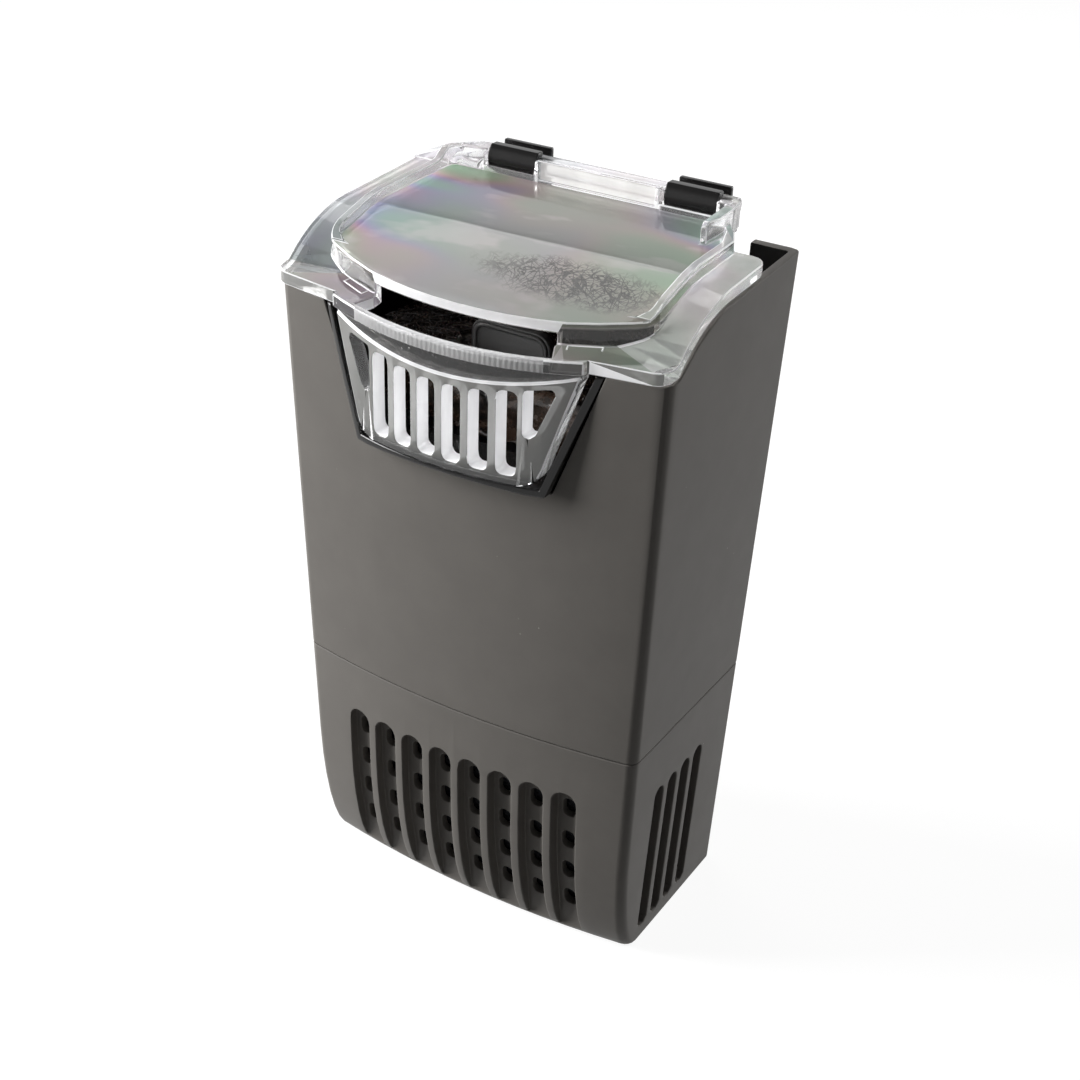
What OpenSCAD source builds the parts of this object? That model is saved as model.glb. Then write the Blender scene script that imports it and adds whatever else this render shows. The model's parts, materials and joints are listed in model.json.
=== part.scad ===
// In-tank waterfall filter: a strainer base with the pump, an upper housing with
// the media basket, an outlet spout and a hinged clear cover with a hanging grille.
// Millimetres. +Z is up, -Y is the front with the spout, and the origin lies on the
// flat underside, at the middle of the width and of the seam's depth.

/* [Housing] */
// Outside width at the seam between the base and the upper housing
body_w = 108; // [102:1:114]
// Outside depth at the seam, without the bow of the front
body_d = 61.8; // [59:0.2:66]
// Height of the seam above the underside
seam_z = 71; // [68:1:78]
// Height of the upper housing's back wall above the seam
upper_h = 124.3; // [118:0.1:132]
// How far the front face bows out at the middle
front_bow = 4.8; // [3:0.1:6]
// Lean of each side wall, in degrees
side_draft = 1.8; // [1:0.1:2]
// Lean of the front face, in degrees
front_draft = 0.8; // [0.4:0.1:1.2]
// Lean of the back wall, in degrees
back_draft = 2; // [1:0.1:2.4]
// Radius of the upright corners at the front
corner_r = 3.2; // [3:0.1:4.4]
// Radius of the upright corners at the back
corner_back = 1.8; // [1.4:0.1:3]
// Wall of the upper housing
wall = 2.4; // [2:0.1:2.8]
// Floor of the upper housing
upper_floor = 2.6; // [2:0.1:3.2]
// Gap between the base and the upper housing at the seam
seam_gap = 0.3; // [0.2:0.05:0.5]
// Length of the spigot that enters the base
spigot_h = 5; // [4:0.5:7]
// Wall of the spigot
spigot_wall = 2; // [1.6:0.1:2.4]

/* [Rim of the housing] */
// Slope of the flat rear stretch of the side walls, in degrees
rim_slope = 3.4; // [2:0.1:5]
// Length of that flat rear stretch
rim_flat = 35; // [32:0.5:38]
// Radius of the curve down to the front
rim_r = 40; // [34:1:46]
// Drop of that curve
rim_drop = 11; // [9:0.5:12]
// Slope of the rim in front of the curve, in degrees
rim_front_slope = 9.5; // [7:0.5:11]
// Width of the cable notch in the back wall
notch_w = 6.2; // [5.5:0.1:7]
// Middle of the cable notch, from the middle of the housing
notch_x = 41.6; // [40:0.1:43]
// Depth of the cable notch
notch_h = 8; // [6:0.5:10]

/* [Strainer base] */
// Floor of the base
base_floor = 3; // [2.4:0.1:4]
// Thickness of the front wall behind the grooves' front
base_front = 5.6; // [5:0.1:6.4]
// Thickness of the side walls
base_side = 4.6; // [4.2:0.1:5]
// Height of the curve that turns the front under
under_h = 40; // [34:1:46]
// Depth of that curve
under_d = 9.5; // [8:0.5:11]
// Share of the bow that is lost at the bottom edge
bow_loss = 0.25; // [0.1:0.05:0.4]
// Number of grooves in the front
groove_n = 8; // [6:1:8]
// Distance between the grooves
groove_pitch = 9.86; // [9.5:0.02:10.2]
// Width of a groove
groove_w = 7.3; // [6.6:0.1:7.8]
// Depth of a groove
groove_t = 3.3; // [2.6:0.1:3.6]
// Height of the top of the grooves above the underside
groove_top = 55.5; // [53:0.5:58]
// Number of holes in a groove
hole_n = 4; // [3:1:5]
// Distance between the holes
hole_pitch = 11.2; // [10:0.1:11.6]
// Width of a hole
hole_w = 4; // [3.4:0.1:4.6]
// Height of a hole
hole_h = 5.8; // [5:0.1:6.6]
// Number of louvres in each side
louvre_n = 4; // [3:1:5]
// Distance between the louvres
louvre_pitch = 7.6; // [7.2:0.1:8]
// Width of a louvre at the face
louvre_w = 5; // [4.4:0.1:5.4]
// Width of the slit at the bottom of a louvre
slit_w = 2.4; // [2:0.1:3]
// Depth of a louvre before the slit
louvre_t = 3; // [2.4:0.1:3.4]
// Height of the top of the louvres above the underside
louvre_top = 53; // [50:1:56]
// Height of the bottom of the louvres above the underside
louvre_low = 4.2; // [4:0.1:6]
// Lean of the louvres towards the front, in degrees
louvre_lean = 2.6; // [1:0.2:4]

/* [Outlet spout] */
// Height of the spout below the front of the rim
spout_h = 35.4; // [33:0.2:37]
// Half of the outside width at the bottom
spout_low = 28.4; // [26:0.2:30]
// Lean of the spout's sides, in degrees
spout_lean = 20.4; // [18:0.2:21]
// Plate thickness of the spout
spout_wall = 2; // [1.6:0.1:2.4]
// Length of the spout behind the housing's front wall
spout_in = 6; // [4:0.5:8]
// Radius of the bowed front of the spout and of the grille
bow_r = 98; // [90:1:110]
// How far the spout's lip stands in front of the housing's front corners, at the middle
spout_out = 12.2; // [11.4:0.1:12.8]

/* [Clear cover] */
// Plate thickness of the band around the window
band_t = 3.4; // [2.8:0.1:4]
// Gap between the cover and the housing's rim
cover_gap = 0.3; // [0.2:0.05:0.5]
// Half of the width of the band
band_half = 57.8; // [56.8:0.1:58.2]
// How far the band stands out further on the left
band_shift = 0.7; // [0:0.1:1]
// Radius of the band's front corners
band_r = 4.6; // [3:0.1:6]
// Half of the width of the raised window
window_half = 48.2; // [47:0.1:49]
// Height of the window's rear edge above the back wall
window_rise = 4.2; // [3.4:0.1:5]
// Slope of the window behind its crease, in degrees
window_slope = 2; // [1:0.5:4]
// Distance of the crease from the window's rear edge
crease_d = 37; // [34:0.5:40]
// Slope of the window in front of its crease, in degrees
window_fall = 15.6; // [13:0.2:17]
// Plate thickness of the window
window_t = 2.5; // [2:0.1:3]
// Height of the bead along the window's edges
bead_h = 2.3; // [1.6:0.1:3]
// Width of the bead and of the window's walls
bead_w = 2.4; // [2:0.1:3]
// Half of the width of the finger opening
finger_half = 26.5; // [22:0.5:28]
// Thickness of the bar in front of the finger opening
bar_w = 1.6; // [1.4:0.1:2.2]
// How much wider the finger opening is at the bar, on each side
finger_flare = 2.2; // [0:0.2:3]
// Depth of the finger opening, front to back
finger_d = 6.3; // [6:0.1:6.8]
// Outer side of the hinge ear beside the cable's way out
ear_x = 40.4; // [39:0.1:43]
// Depth of the grille's bars
grille_t = 5.1; // [4.6:0.1:6]
// How far the front bar stands out before the grille's face
bar_out = 0.5; // [0.3:0.1:0.8]
// Height of the grille's face in its middle
face_h = 25.2; // [24.4:0.2:26]
// How far the fascia between the face and the bar stands back
fascia_set = 0.6; // [0.4:0.1:0.8]
// Thickness of the fascia
fascia_t = 1.3; // [1.1:0.1:1.5]
// Half of the width of the grille at its top
grille_top = 36.8; // [35:0.1:37.4]
// Half of the width of the grille at its bottom, before the corners are rounded
grille_low = 26.2; // [24:0.1:27]
// Gap between the grille and the lip of the spout
grille_gap = 0.5; // [0.4:0.1:1]
// Number of upright slots
slot_n = 6; // [4:1:6]
// Distance between the slots
slot_pitch = 7.5; // [7.2:0.05:7.6]
// Width of a slot
slot_w = 5.2; // [4.4:0.1:5.6]
// Height of a slot
slot_h = 20.5; // [18:0.5:21]

/* [Hinge] */
// Height of the hinge axis above the back wall
hinge_up = 7.2; // [7:0.1:8.4]
// Distance of the hinge axis behind the back wall's outer face
hinge_back = 0.6; // [0.4:0.1:1.2]
// Radius of the cover's hinge rod
rod_r = 2.45; // [2.2:0.05:2.7]
// Height of the cover's rear lip above the hinge axis
lip_up = 2.5; // [1.8:0.1:3]
// Half of the width of the recess in the rear lip
recess_half = 18; // [14:0.5:18.4]
// Depth of the recess in the rear lip
recess_t = 0.8; // [0.5:0.1:1]
// Running clearance around the hinge rod
rod_gap = 0.08; // [0.05:0.01:0.1]
// Wall of the clips' jaws
jaw_t = 2.4; // [2:0.1:2.8]
// Length of a clip along the hinge
clip_w = 15.4; // [12:0.2:17]
// Middle of each clip, from the middle of the housing
clip_x = 27.4; // [26:0.1:28]
// Width of the clips' snap mouth
mouth_w = 4.4; // [4:0.1:4.6]
// Thickness of the clips' rear plate
plate_t = 1.5; // [1.2:0.1:2]
// Length of the clips' legs below the rim
leg_h = 9; // [7:0.5:11]

/* [Pump] */
// Length of the motor housing
motor_l = 34; // [32:0.5:36]
// Depth of the motor housing, front to back
motor_d = 36; // [35:0.5:37]
// Height of the motor housing
motor_h = 34; // [33:0.5:36]
// Wall of the motor housing
motor_wall = 2; // [1.6:0.1:2.2]
// Height of the pump's rubber feet
foot_h = 5; // [4:0.5:6]
// Distance of the feet's middle from the ends of the motor housing
foot_in = 7; // [6:0.5:9]
// Position of the pump's outlet, from the middle of the housing
outlet_x = 4; // [2:0.5:6]
// Position of the pump's axis, from the middle of the depth
pump_y = 4.5; // [3.5:0.1:5]
// Outside radius of the impeller chamber
chamber_r = 14.5; // [14:0.1:15]
// Outside length of the impeller chamber
chamber_l = 14; // [13.6:0.1:15]
// Wall of the impeller chamber
chamber_wall = 2; // [1.6:0.1:2.2]
// Radius of the rotor magnet
rotor_r = 5.8; // [5.4:0.1:6]
// Length of the rotor magnet
rotor_l = 21; // [20:0.5:22]
// Running gap around the rotor
rotor_gap = 0.4; // [0.3:0.05:0.5]
// Wall of the rotor well
well_wall = 1.2; // [1:0.1:1.4]
// Radius of the ceramic shaft
shaft_r = 1.25; // [1.1:0.05:1.5]
// Running clearance around the shaft
shaft_gap = 0.05; // [0.03:0.01:0.08]
// Number of impeller blades
blade_n = 6; // [5:1:8]
// Outer radius of the impeller blades
blade_r = 11; // [10:0.1:11.4]
// Width of the impeller blades along the shaft
blade_w = 7; // [6:0.1:7.4]
// Outside radius of the inlet boss
inlet_r = 7.5; // [7:0.1:8]
// Length of the inlet boss
inlet_l = 5; // [4:0.1:6]
// Outside radius of the flow dial
dial_r = 10; // [9.6:0.1:11]
// Thickness of the flow dial's front plate
dial_t = 1.8; // [1.4:0.1:2.2]
// Outside radius of the pump's outlet nozzle
nozzle_r = 6; // [5.8:0.1:6.1]
// Wall of the nozzle and of the outlet tube
tube_wall = 1.4; // [1.2:0.1:1.6]

/* [Media] */
// Gap between the media basket and the housing's walls
basket_gap = 2.2; // [1.5:0.1:3]
// Wall of the media basket
basket_wall = 1.6; // [1.4:0.1:2]
// Height of the media basket
basket_h = 63; // [60:0.5:64]
// Height of the plenum below the basket
plenum_h = 8; // [6:0.5:10]
// Thickness of the foam stage
foam_h = 28; // [24:0.5:30]
// Thickness of the carbon cartridge
carbon_h = 18; // [14:0.5:20]
// Thickness of the curly fibre pad
fibre_h = 22; // [18:0.5:24]
// Gap between soft pieces and what surrounds them
soft_gap = 0.3; // [0.2:0.05:0.4]
// Width of the basket's grip
grip_w = 24; // [20:0.5:28]
// Height of the grip above the basket
grip_h = 31; // [28:0.5:32]
// Thickness of the foam behind the strainer's front
intake_t = 9; // [8:0.5:9.5]

/* [Suction cups] */
// Outside radius of a suction cup
cup_r = 16; // [14:0.5:17]
// Thickness of a cup from its hub to its rim
cup_t = 6; // [5:0.5:7]
// Distance of each cup from the middle of the housing
cup_x = 28; // [26:0.5:30]
// Height of the cups above the underside
cup_z = 150; // [140:1:156]
// Radius of the neck that clicks into the housing
neck_r = 3; // [2.6:0.1:3.4]

/* [Hidden] */
$fn = 48;
eps = 0.01;
big = 400;
arc_n = 12;

rim_z = seam_z + upper_h;
rim_back = body_d / 2 + tan(back_draft) * upper_h;
rim_flat_y = rim_back - rim_flat;
rim_curve_d = sqrt(rim_r * rim_r - (rim_r - rim_drop) * (rim_r - rim_drop));
rim_curve_y = rim_flat_y - rim_curve_d;
rim_front_z = rim_z - rim_flat * tan(rim_slope) - rim_drop;

hinge_y = rim_back + hinge_back;
hinge_z = rim_z + hinge_up;

// The spout hangs below the front of the rim
spout_z = rim_front_z - spout_h;
lip_z = spout_z + spout_wall;
lip_y = -body_d / 2 - spout_out;
grille_y = lip_y - 0.3;

// Clips and cups on the back wall
jaw_r = rod_r + rod_gap + jaw_t;
plate_y = hinge_y + rod_r + 0.9;
boss_r = neck_r + 3.4;
boss_t = 2;

// The cover's band lies on the rim, and its window stands on the band
band_front = -body_d / 2 - 2.6;
band_rear = rim_back - wall - 15.4;
band_left = -band_half - band_shift;
band_right = band_half - band_shift;
window_back = rim_back - wall - 0.8;
bar_front = grille_y - bar_out;
bar_back = bar_front + bar_w;
window_front = bar_back + finger_d;
window_z = rim_z + window_rise;
crease_y = window_back - crease_d;
brow_y = -body_d / 2 - 1;
lip_top = hinge_z + lip_up;

// The shoulder leads from the band's left rear corner to the hinge rod
shoulder_x = -clip_x - clip_w / 2 - 1.2;
shoulder_z0 = rim_z + 2;
shoulder_low = rim_z + cover_gap + band_t + 0.4;
shoulder_r = 6;
shoulder_t = 2.2;

// The pump stands on its feet on the base's floor
seal_t = 1;
foot_r = 5;
pump_z = base_floor + foot_h + motor_h / 2;
chamber_x = outlet_x - seal_t - (chamber_l - seal_t) / 2;
motor_x = chamber_x - motor_l;
nozzle_top = pump_z + chamber_r + 6;

// Rotor, shaft and stator, along the pump's axis
well_r = rotor_r + rotor_gap;
well_l = rotor_l + 3.4;
rotor_x = motor_x + motor_l - rotor_l - 1;
shaft_x0 = motor_x + motor_l - well_l;
shaft_x1 = chamber_x + chamber_l + inlet_l - 1.4;
bush_r = shaft_r + 1.6;
gland_r = 3.2;
core_w = 14;
core_gap = 0.2;
core_x = motor_l - 19;
leg_y0 = motor_d / 2 - motor_wall - 5.6;
leg_y1 = leg_y0 + 3.6;
yoke_h = 5;
coil_t = 1.4;
coil_gap = 0.3;

// The tube leads up through the housing's floor, below the media basket
floor_top = seam_z + upper_floor;
tube_low = nozzle_top - 6;
tube_top = floor_top + 3;
grommet_r = nozzle_r + tube_wall + 1.6;
grommet_t = 1.5;
basket_side = wall + basket_gap;
basket_step = 8;
basket_r = 3;
basket_z = floor_top + plenum_h;
basket_top = basket_z + basket_h;
grip_y = -body_d / 2 + 20;
grip_t = 2.6;
foam_z = basket_z + basket_wall + soft_gap;
carbon_z = foam_z + foam_h + soft_gap;
ring_z = carbon_z + carbon_h + soft_gap;
ring_r = 5;
grid_z = basket_top - 2.4;
ring_h = grid_z - ring_z - 0.6;
fibre_z = basket_top + soft_gap;

// ---- Shared shapes ----

function half_w(z) = body_w / 2 + tan(side_draft) * (z - seam_z);
function back_y(z) = body_d / 2 + tan(back_draft) * (z - seam_z);
function under_y(z) = z >= under_h ? 0
  : under_d * (1 - sqrt(max(0, 1 - pow((under_h - max(z, 0)) / under_h, 2))));
function front_y(z) = -body_d / 2 - tan(front_draft) * (z - seam_z) + under_y(z);

// Points of an arc about c, from angle a to angle b
function arc(c, r, a, b, n = 5) =
  [for (i = [0:n]) c + r * [cos(a + (b - a) * i / n), sin(a + (b - a) * i / n)]];

// Bow of the front at height z
function bow(z) = front_bow * (1 - bow_loss * under_y(z) / under_d);

// Plan of the housing at height z, inset at the side, front and back
function plan(z, side = 0, front = 0, back = 0, r = corner_r, rb = corner_back) =
  let (w = half_w(z) - side, f = front_y(z) + front, b = back_y(z) - back,
    turn = atan(2 * bow(z) / w), cx = w - r, cy = f + r * cos(turn))
  concat(
    [for (i = [1:arc_n - 1]) let (u = -1 + 2 * i / arc_n) [u * (cx + r * sin(turn)),
      cy - r * cos(turn) - bow(z) * (1 - u * u)]],
    arc([cx, cy], r, -90 + turn, 0, 4),
    arc([w - rb, b - rb], rb, 0, 90, 3),
    arc([-w + rb, b - rb], rb, 90, 180, 3),
    arc([-cx, cy], r, 180, 270 - turn, 4));

// Skin over plans that all have the same number of points
module loft(heights, plans) {
  n = len(plans[0]);
  m = len(heights);
  polyhedron(
    points = [for (k = [0:m - 1]) for (p = plans[k]) [p.x, p.y, heights[k]]],
    faces = concat(
      [[for (i = [0:n - 1]) i]],
      [[for (i = [0:n - 1]) m * n - 1 - i]],
      [for (k = [0:m - 2]) for (i = [0:n - 1]) let (j = (i + 1) % n)
        [k * n + i, (k + 1) * n + i, (k + 1) * n + j]],
      [for (k = [0:m - 2]) for (i = [0:n - 1]) let (j = (i + 1) % n)
        [k * n + i, (k + 1) * n + j, k * n + j]]));
}

// Solid between two heights that keeps an inset from the housing's outer face
module inset_block(z0, z1, side = 0, front = 0, back = 0, r = corner_r, rb = corner_back) {
  loft([z0, z1], [for (z = [z0, z1]) plan(z, side, front, back, r, rb)]);
}

// Height of the housing's rim at depth y
function rim(y) = y >= rim_flat_y ? rim_z - (rim_back - y) * tan(rim_slope)
  : y >= rim_curve_y ? rim_z - rim_flat * tan(rim_slope) - rim_r
    + sqrt(rim_r * rim_r - pow(rim_flat_y - y, 2))
  : rim_front_z - (rim_curve_y - y) * tan(rim_front_slope);

// Height of the window's upper face at depth y
function window(y) = let (z = window_z - crease_d * tan(window_slope))
  y >= crease_y ? z + (y - crease_y) * tan(window_slope)
  : z - (crease_y - max(y, brow_y)) * tan(window_fall) - (brow_y - min(y, brow_y)) * 0.1;

// Depths at which the curved profiles have a point
function steps(from, to, n) = [for (i = [0:n]) from + (to - from) * i / n];
rim_steps = concat([-90, rim_curve_y], steps(rim_curve_y + 3, rim_flat_y, 8), [90]);
window_steps = [-60, brow_y, crease_y - 3, crease_y + 3, 90];

// Prism along X from a profile given as [y, z] points
module along_x(points, w = big) {
  translate([-w / 2, 0, 0])
    rotate([90, 0, 90])
      linear_extrude(w) polygon(points);
}

// Prism along Y from a profile given as [x, z] points
module along_y(points, from, to) {
  translate([0, to, 0])
    rotate([90, 0, 0])
      linear_extrude(to - from) polygon(points);
}

// Everything above the rim, shifted up by lift
module above_rim(lift = 0) {
  along_x(concat([for (y = rim_steps) [y, rim(y) + lift]], [[90, big], [-90, big]]));
}

// Band between two heights over the rim
module rim_slab(low, high) {
  along_x(concat([for (y = rim_steps) [y, rim(y) + low]],
    [for (i = [len(rim_steps) - 1:-1:0]) [rim_steps[i], rim(rim_steps[i]) + high]]));
}

// Band between two heights over the window's upper face
module window_slab(low, high) {
  along_x(concat([for (y = window_steps) [y, window(y) + low]],
    [for (i = [len(window_steps) - 1:-1:0])
      [window_steps[i], window(window_steps[i]) + high]]));
}

// Rectangle with round corners, as points, centred on c
function rounded(c, w, h, r, n = 4) = concat(
  arc(c + [w / 2 - r, -h / 2 + r], r, -90, 0, n), arc(c + [w / 2 - r, h / 2 - r], r, 0, 90, n),
  arc(c + [-w / 2 + r, h / 2 - r], r, 90, 180, n), arc(c + [-w / 2 + r, -h / 2 + r], r, 180, 270, n));

// Round bar along X
module rod_x(r, from, to) {
  translate([from, 0, 0]) rotate([0, 90, 0]) cylinder(r = r, h = to - from);
}

// Half of the spout's outside width at height z
function spout_half(z) = spout_low + (z - spout_z) * tan(spout_lean);

// Wedge in the shape of the spout's opening, inset by t
module spout_prism(t, from, to) {
  z0 = spout_z + t;
  z1 = rim_front_z + 20;
  along_y([[-spout_half(z0) + t, z0], [spout_half(z0) - t, z0],
    [spout_half(z1) - t, z1], [-spout_half(z1) + t, z1]], from, to);
}

// Upright round block whose front face is the bow at depth y
module bow_block(y, h0, h1) {
  translate([0, y + bow_r, h0]) cylinder(r = bow_r, h = h1 - h0, $fn = 120);
}

// ---- Housing ----

module base_body() {
  levels = [0, 0.5, 1.8, 4.5, 9, 15, 23, 31, under_h, seam_z - seam_gap];
  loft(levels, [for (z = levels) plan(z)]);
}

module base_cavity() {
  levels = [base_floor, 9, 18, 29, under_h, seam_z + 1];
  loft(levels, [for (z = levels) plan(z, base_side, base_front, wall, 2)]);
}

function groove_x(i) = (i - (groove_n - 1) / 2) * groove_pitch;
function louvre_y(i) = (i - (louvre_n - 1) / 2) * louvre_pitch - 1.5;

// Depth of a groove's floor, which runs out towards the bottom edge
function groove_y(x, z) = front_y(z) - bow(z) * (1 - pow(x / (half_w(z) - 3), 2))
  + groove_t * sqrt(min(1, max(0, (z - 3) / 11)));

module front_grooves() {
  levels = [3, 4, 6, 9, 14, 23, 31, under_h, groove_top + 1];
  for (i = [0:groove_n - 1]) {
    x = groove_x(i);
    intersection() {
      along_y(concat([[x - groove_w / 2, 0], [x + groove_w / 2, 0]],
        arc([x, groove_top - groove_w / 2], groove_w / 2, 0, 180, 10)), -60, 0);
      translate([x, 0, 0])
        along_x(concat([for (z = levels) [groove_y(x, z), z]],
          [[-55, groove_top + 1], [-55, 3]]), groove_w + 2);
    }
    strainer_holes(x);
  }
}

module strainer_holes(x) {
  top = groove_top - groove_w / 2 - hole_h / 2 - 0.5;
  for (k = [0:hole_n - 1]) {
    z = top - k * hole_pitch;
    y = groove_y(x, z);
    along_y(rounded([x, z], hole_w, hole_h, hole_w * 0.4, 3), y - 1, y + base_front + 2);
  }
}

module side_louvres() {
  for (side = [-1, 1])
    for (i = [0:louvre_n - 1])
      // The louvre keeps its depth along the leaning wall, and leans forward
      multmatrix([[1, 0, side * tan(side_draft), 0], [0, 1, tan(louvre_lean), 0],
          [0, 0, 1, 0], [0, 0, 0, 1]])
        translate([side * half_w(0), louvre_y(i) - tan(louvre_lean) * louvre_top, 0]) {
          louvre();
          translate([-base_side - 1, -slit_w / 2, louvre_low + 3])
            cube([2 * base_side + 2, slit_w, louvre_top - louvre_low - 6]);
        }
}

module louvre() {
  low = louvre_low + 1.5;
  translate([-louvre_t, 0, 0])
    rotate([90, 0, 90])
      linear_extrude(2 * louvre_t)
        polygon(concat([[-louvre_w / 2, low], [-louvre_w / 2 + 1.5, louvre_low],
          [louvre_w / 2 - 1.5, louvre_low], [louvre_w / 2, low]],
          arc([0, louvre_top - louvre_w / 2], louvre_w / 2, 0, 180, 8)));
}

module strainer_base() {
  color([0.34, 0.33, 0.32])
    difference() {
      base_body();
      base_cavity();
      front_grooves();
      side_louvres();
    }
}

module upper_shell() {
  difference() {
    inset_block(seam_z, rim_z + 8);
    inset_block(floor_top, rim_z + 9, wall, wall, wall, 1.2, 0.8);
    above_rim();
  }
}

// Ring that enters the base and centres the upper housing on it
module spigot() {
  gap = seam_gap;
  difference() {
    inset_block(seam_z - spigot_h, seam_z + eps, base_side + gap, base_front + gap, wall + gap, 1.8);
    inset_block(seam_z - spigot_h - 1, seam_z + 1, base_side + gap + spigot_wall,
      base_front + gap + spigot_wall, wall + gap + spigot_wall, 1);
  }
}

module upper_housing() {
  color([0.34, 0.33, 0.32])
    difference() {
      union() {
        upper_shell();
        spigot();
        for (side = [-1, 1]) cup_boss(side);
      }
      spout_prism(-0.3, -body_d, -body_d / 2 + wall + 0.6);
      translate([notch_x - notch_w / 2, rim_back - 6, rim_z - notch_h])
        cube([notch_w, 12, notch_h + 10]);
      translate([outlet_x, pump_y, seam_z - 10]) cylinder(r = grommet_r, h = 20);
      for (side = [-1, 1]) cup_neck_hole(side);
    }
}

module along_back(x, z) {
  translate([x, back_y(z), z]) rotate([-90, 0, 0]) children();
}

module cup_boss(side) {
  along_back(side * cup_x, cup_z)
    translate([0, 0, -wall])
      cylinder(r = boss_r, h = wall + boss_t);
}

module cup_neck_hole(side) {
  along_back(side * cup_x, cup_z)
    translate([0, 0, -wall - 3])
      cylinder(r = neck_r + 0.1, h = wall + boss_t + 6);
}

module outlet_spout() {
  front = -body_d - 10;
  rear = -body_d / 2 + spout_in;
  color([0.06, 0.06, 0.065])
    difference() {
      union() {
        intersection() {
          spout_prism(0, front, rear);
          bow_block(lip_y, spout_z - 5, rim_z);
        }
        // Flange behind the housing's front wall
        spout_prism(-1.8, -body_d / 2 + wall + 1, -body_d / 2 + wall + 2.4);
      }
      spout_prism(spout_wall, front - 1, rear + 1);
      above_rim(-0.5);
      // The lip's underside runs back to the housing's face
      along_x([[lip_y - 5, spout_z - 1], [lip_y + 6.5, spout_z - 1],
        [lip_y - 0.5, spout_z + 1], [lip_y - 5, spout_z + 3]]);
    }
}

// ---- Hinge clips ----

module clip(x) {
  bore = rod_r + rod_gap;
  wall_front = rim_back - wall - 0.3;
  color([0.05, 0.05, 0.055])
    translate([x - clip_w / 2, 0, 0])
      difference() {
        union() {
          translate([0, hinge_y, hinge_z]) rod_x(jaw_r, 0, clip_w);
          // Rear plate and outer leg
          translate([0, plate_y, rim_z - leg_h]) cube([clip_w, plate_t, leg_h + hinge_up + 3.5]);
          // Saddle over the back wall, with the inner leg
          translate([0, wall_front - 2, rim_z - leg_h])
            cube([clip_w, plate_y - wall_front + 2 + eps, leg_h + hinge_up - 2]);
        }
        translate([-1, hinge_y, hinge_z]) rod_x(bore, 0, clip_w + 2);
        // Snap mouth, open upwards and to the back
        translate([-1, hinge_y, hinge_z]) rotate([-6, 0, 0])
          translate([0, -mouth_w / 2 + 0.9, 0]) cube([clip_w + 2, mouth_w, 12]);
        // Blunt top of the front jaw
        translate([-1, hinge_y - jaw_r - 1, hinge_z + 3.8]) cube([clip_w + 2, jaw_r + 3, 4]);
        // Slot for the leaning back wall
        along_x([[wall_front - 0.4, rim_z - leg_h - 1], [rim_back + 0.3, rim_z - leg_h - 1],
          [rim_back + 0.35, rim_z + cover_gap], [wall_front, rim_z + cover_gap]]);
        // Shortened inner leg
        translate([-1, wall_front - 8, rim_z - leg_h - 1]) cube([clip_w + 2, 8.3, leg_h / 2]);
      }
}

module hinge_clip_left() {
  clip(-clip_x);
}

module hinge_clip_right() {
  clip(clip_x);
}

// ---- Clear cover ----

function bow_y(y, x) = y + bow_r - sqrt(bow_r * bow_r - x * x);

// Plan of the band, with the bowed front of the grille between its shoulders
module band_plan() {
  edge = bar_front;
  polygon(concat(
    [for (i = [0:16]) let (x = -grille_top + 2 * grille_top * i / 16) [x, bow_y(edge, x)]],
    [[grille_top + 0.2, bow_y(edge, grille_top) + 1.2]],
    arc([band_right - band_r, band_front + band_r], band_r, -80, 0, 5),
    arc([band_right - 4.5, band_rear - 4.5], 4.5, 0, 90, 5),
    [[ear_x, band_rear], [ear_x, window_back]],
    arc([band_left + 1.5, window_back - 1.5], 1.5, 90, 180, 2),
    arc([band_left + band_r, band_front + band_r], band_r, 180, 260, 5),
    [[-grille_top - 0.2, bow_y(edge, grille_top) + 1.2]]));
}

// Plan of the window, inset by t
module window_plan(t) {
  r = 5 - t;
  side_y = bow_y(window_front, window_half - 5) + 0.6;
  polygon(concat(
    [for (i = [0:12]) let (x = -window_half + 5 + 2 * (window_half - 5) * i / 12)
      [x, bow_y(window_front, x) + t]],
    arc([window_half - 5, side_y + 5], r, -62, 0, 4),
    [[window_half - t, band_rear - 2 - t], [window_half - 2.6 - t, band_rear + 3.4],
      [ear_x - t, band_rear + 10.4], [ear_x - t, window_back - t]],
    arc([-window_half + 5, window_back - 5], r, 90, 180, 4),
    arc([-window_half + 5, side_y + 5], r, 180, 242, 4)));
}

// Plan of the way through the band: the window and the finger opening
module opening_plan() {
  wide = finger_half + finger_flare;
  corner = bow_y(window_front, finger_half) - 1;
  window_plan(bead_w);
  polygon(concat(
    [for (i = [0:10]) let (x = -wide + 2 * wide * i / 10) [x, bow_y(bar_back, x)]],
    [[finger_half, corner], [finger_half, window_front + 12],
      [-finger_half, window_front + 12], [-finger_half, corner]]));
}

module prism(z0, z1) {
  translate([0, 0, z0]) linear_extrude(z1 - z0) children();
}

module cover_band() {
  difference() {
    intersection() {
      prism(rim_front_z - 10, rim_z + 20) band_plan();
      rim_slab(cover_gap, cover_gap + band_t);
    }
    prism(rim_front_z - 20, rim_z + 30) opening_plan();
  }
}

// Walls of the window, from the band up to the panel
module window_walls() {
  difference() {
    intersection() {
      prism(rim_front_z - 10, rim_z + 20) window_ring();
      window_slab(-30, 0);
    }
    rim_slab(-40, cover_gap);
    // The finger opening leaves out the front wall
    translate([-finger_half, window_front - 10, rim_front_z - 20])
      cube([2 * finger_half, 20, 20 + window(window_front) - rim_front_z - window_t]);
  }
}

module window_ring() {
  difference() {
    window_plan(0);
    window_plan(bead_w);
  }
}

// Smooth climb from 0 to rise, over the 6 mm in front of the rear lip
function climb(y, rise) = let (u = min(1, max(0, (y - window_back + 9) / 6)))
  rise * u * u * (3 - 2 * u);

// Height of the bead at distance d from its front end
function bead(d) = 0.15 + bead_h * (1 - pow(1 - min(1, d / 6), 2));

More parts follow.
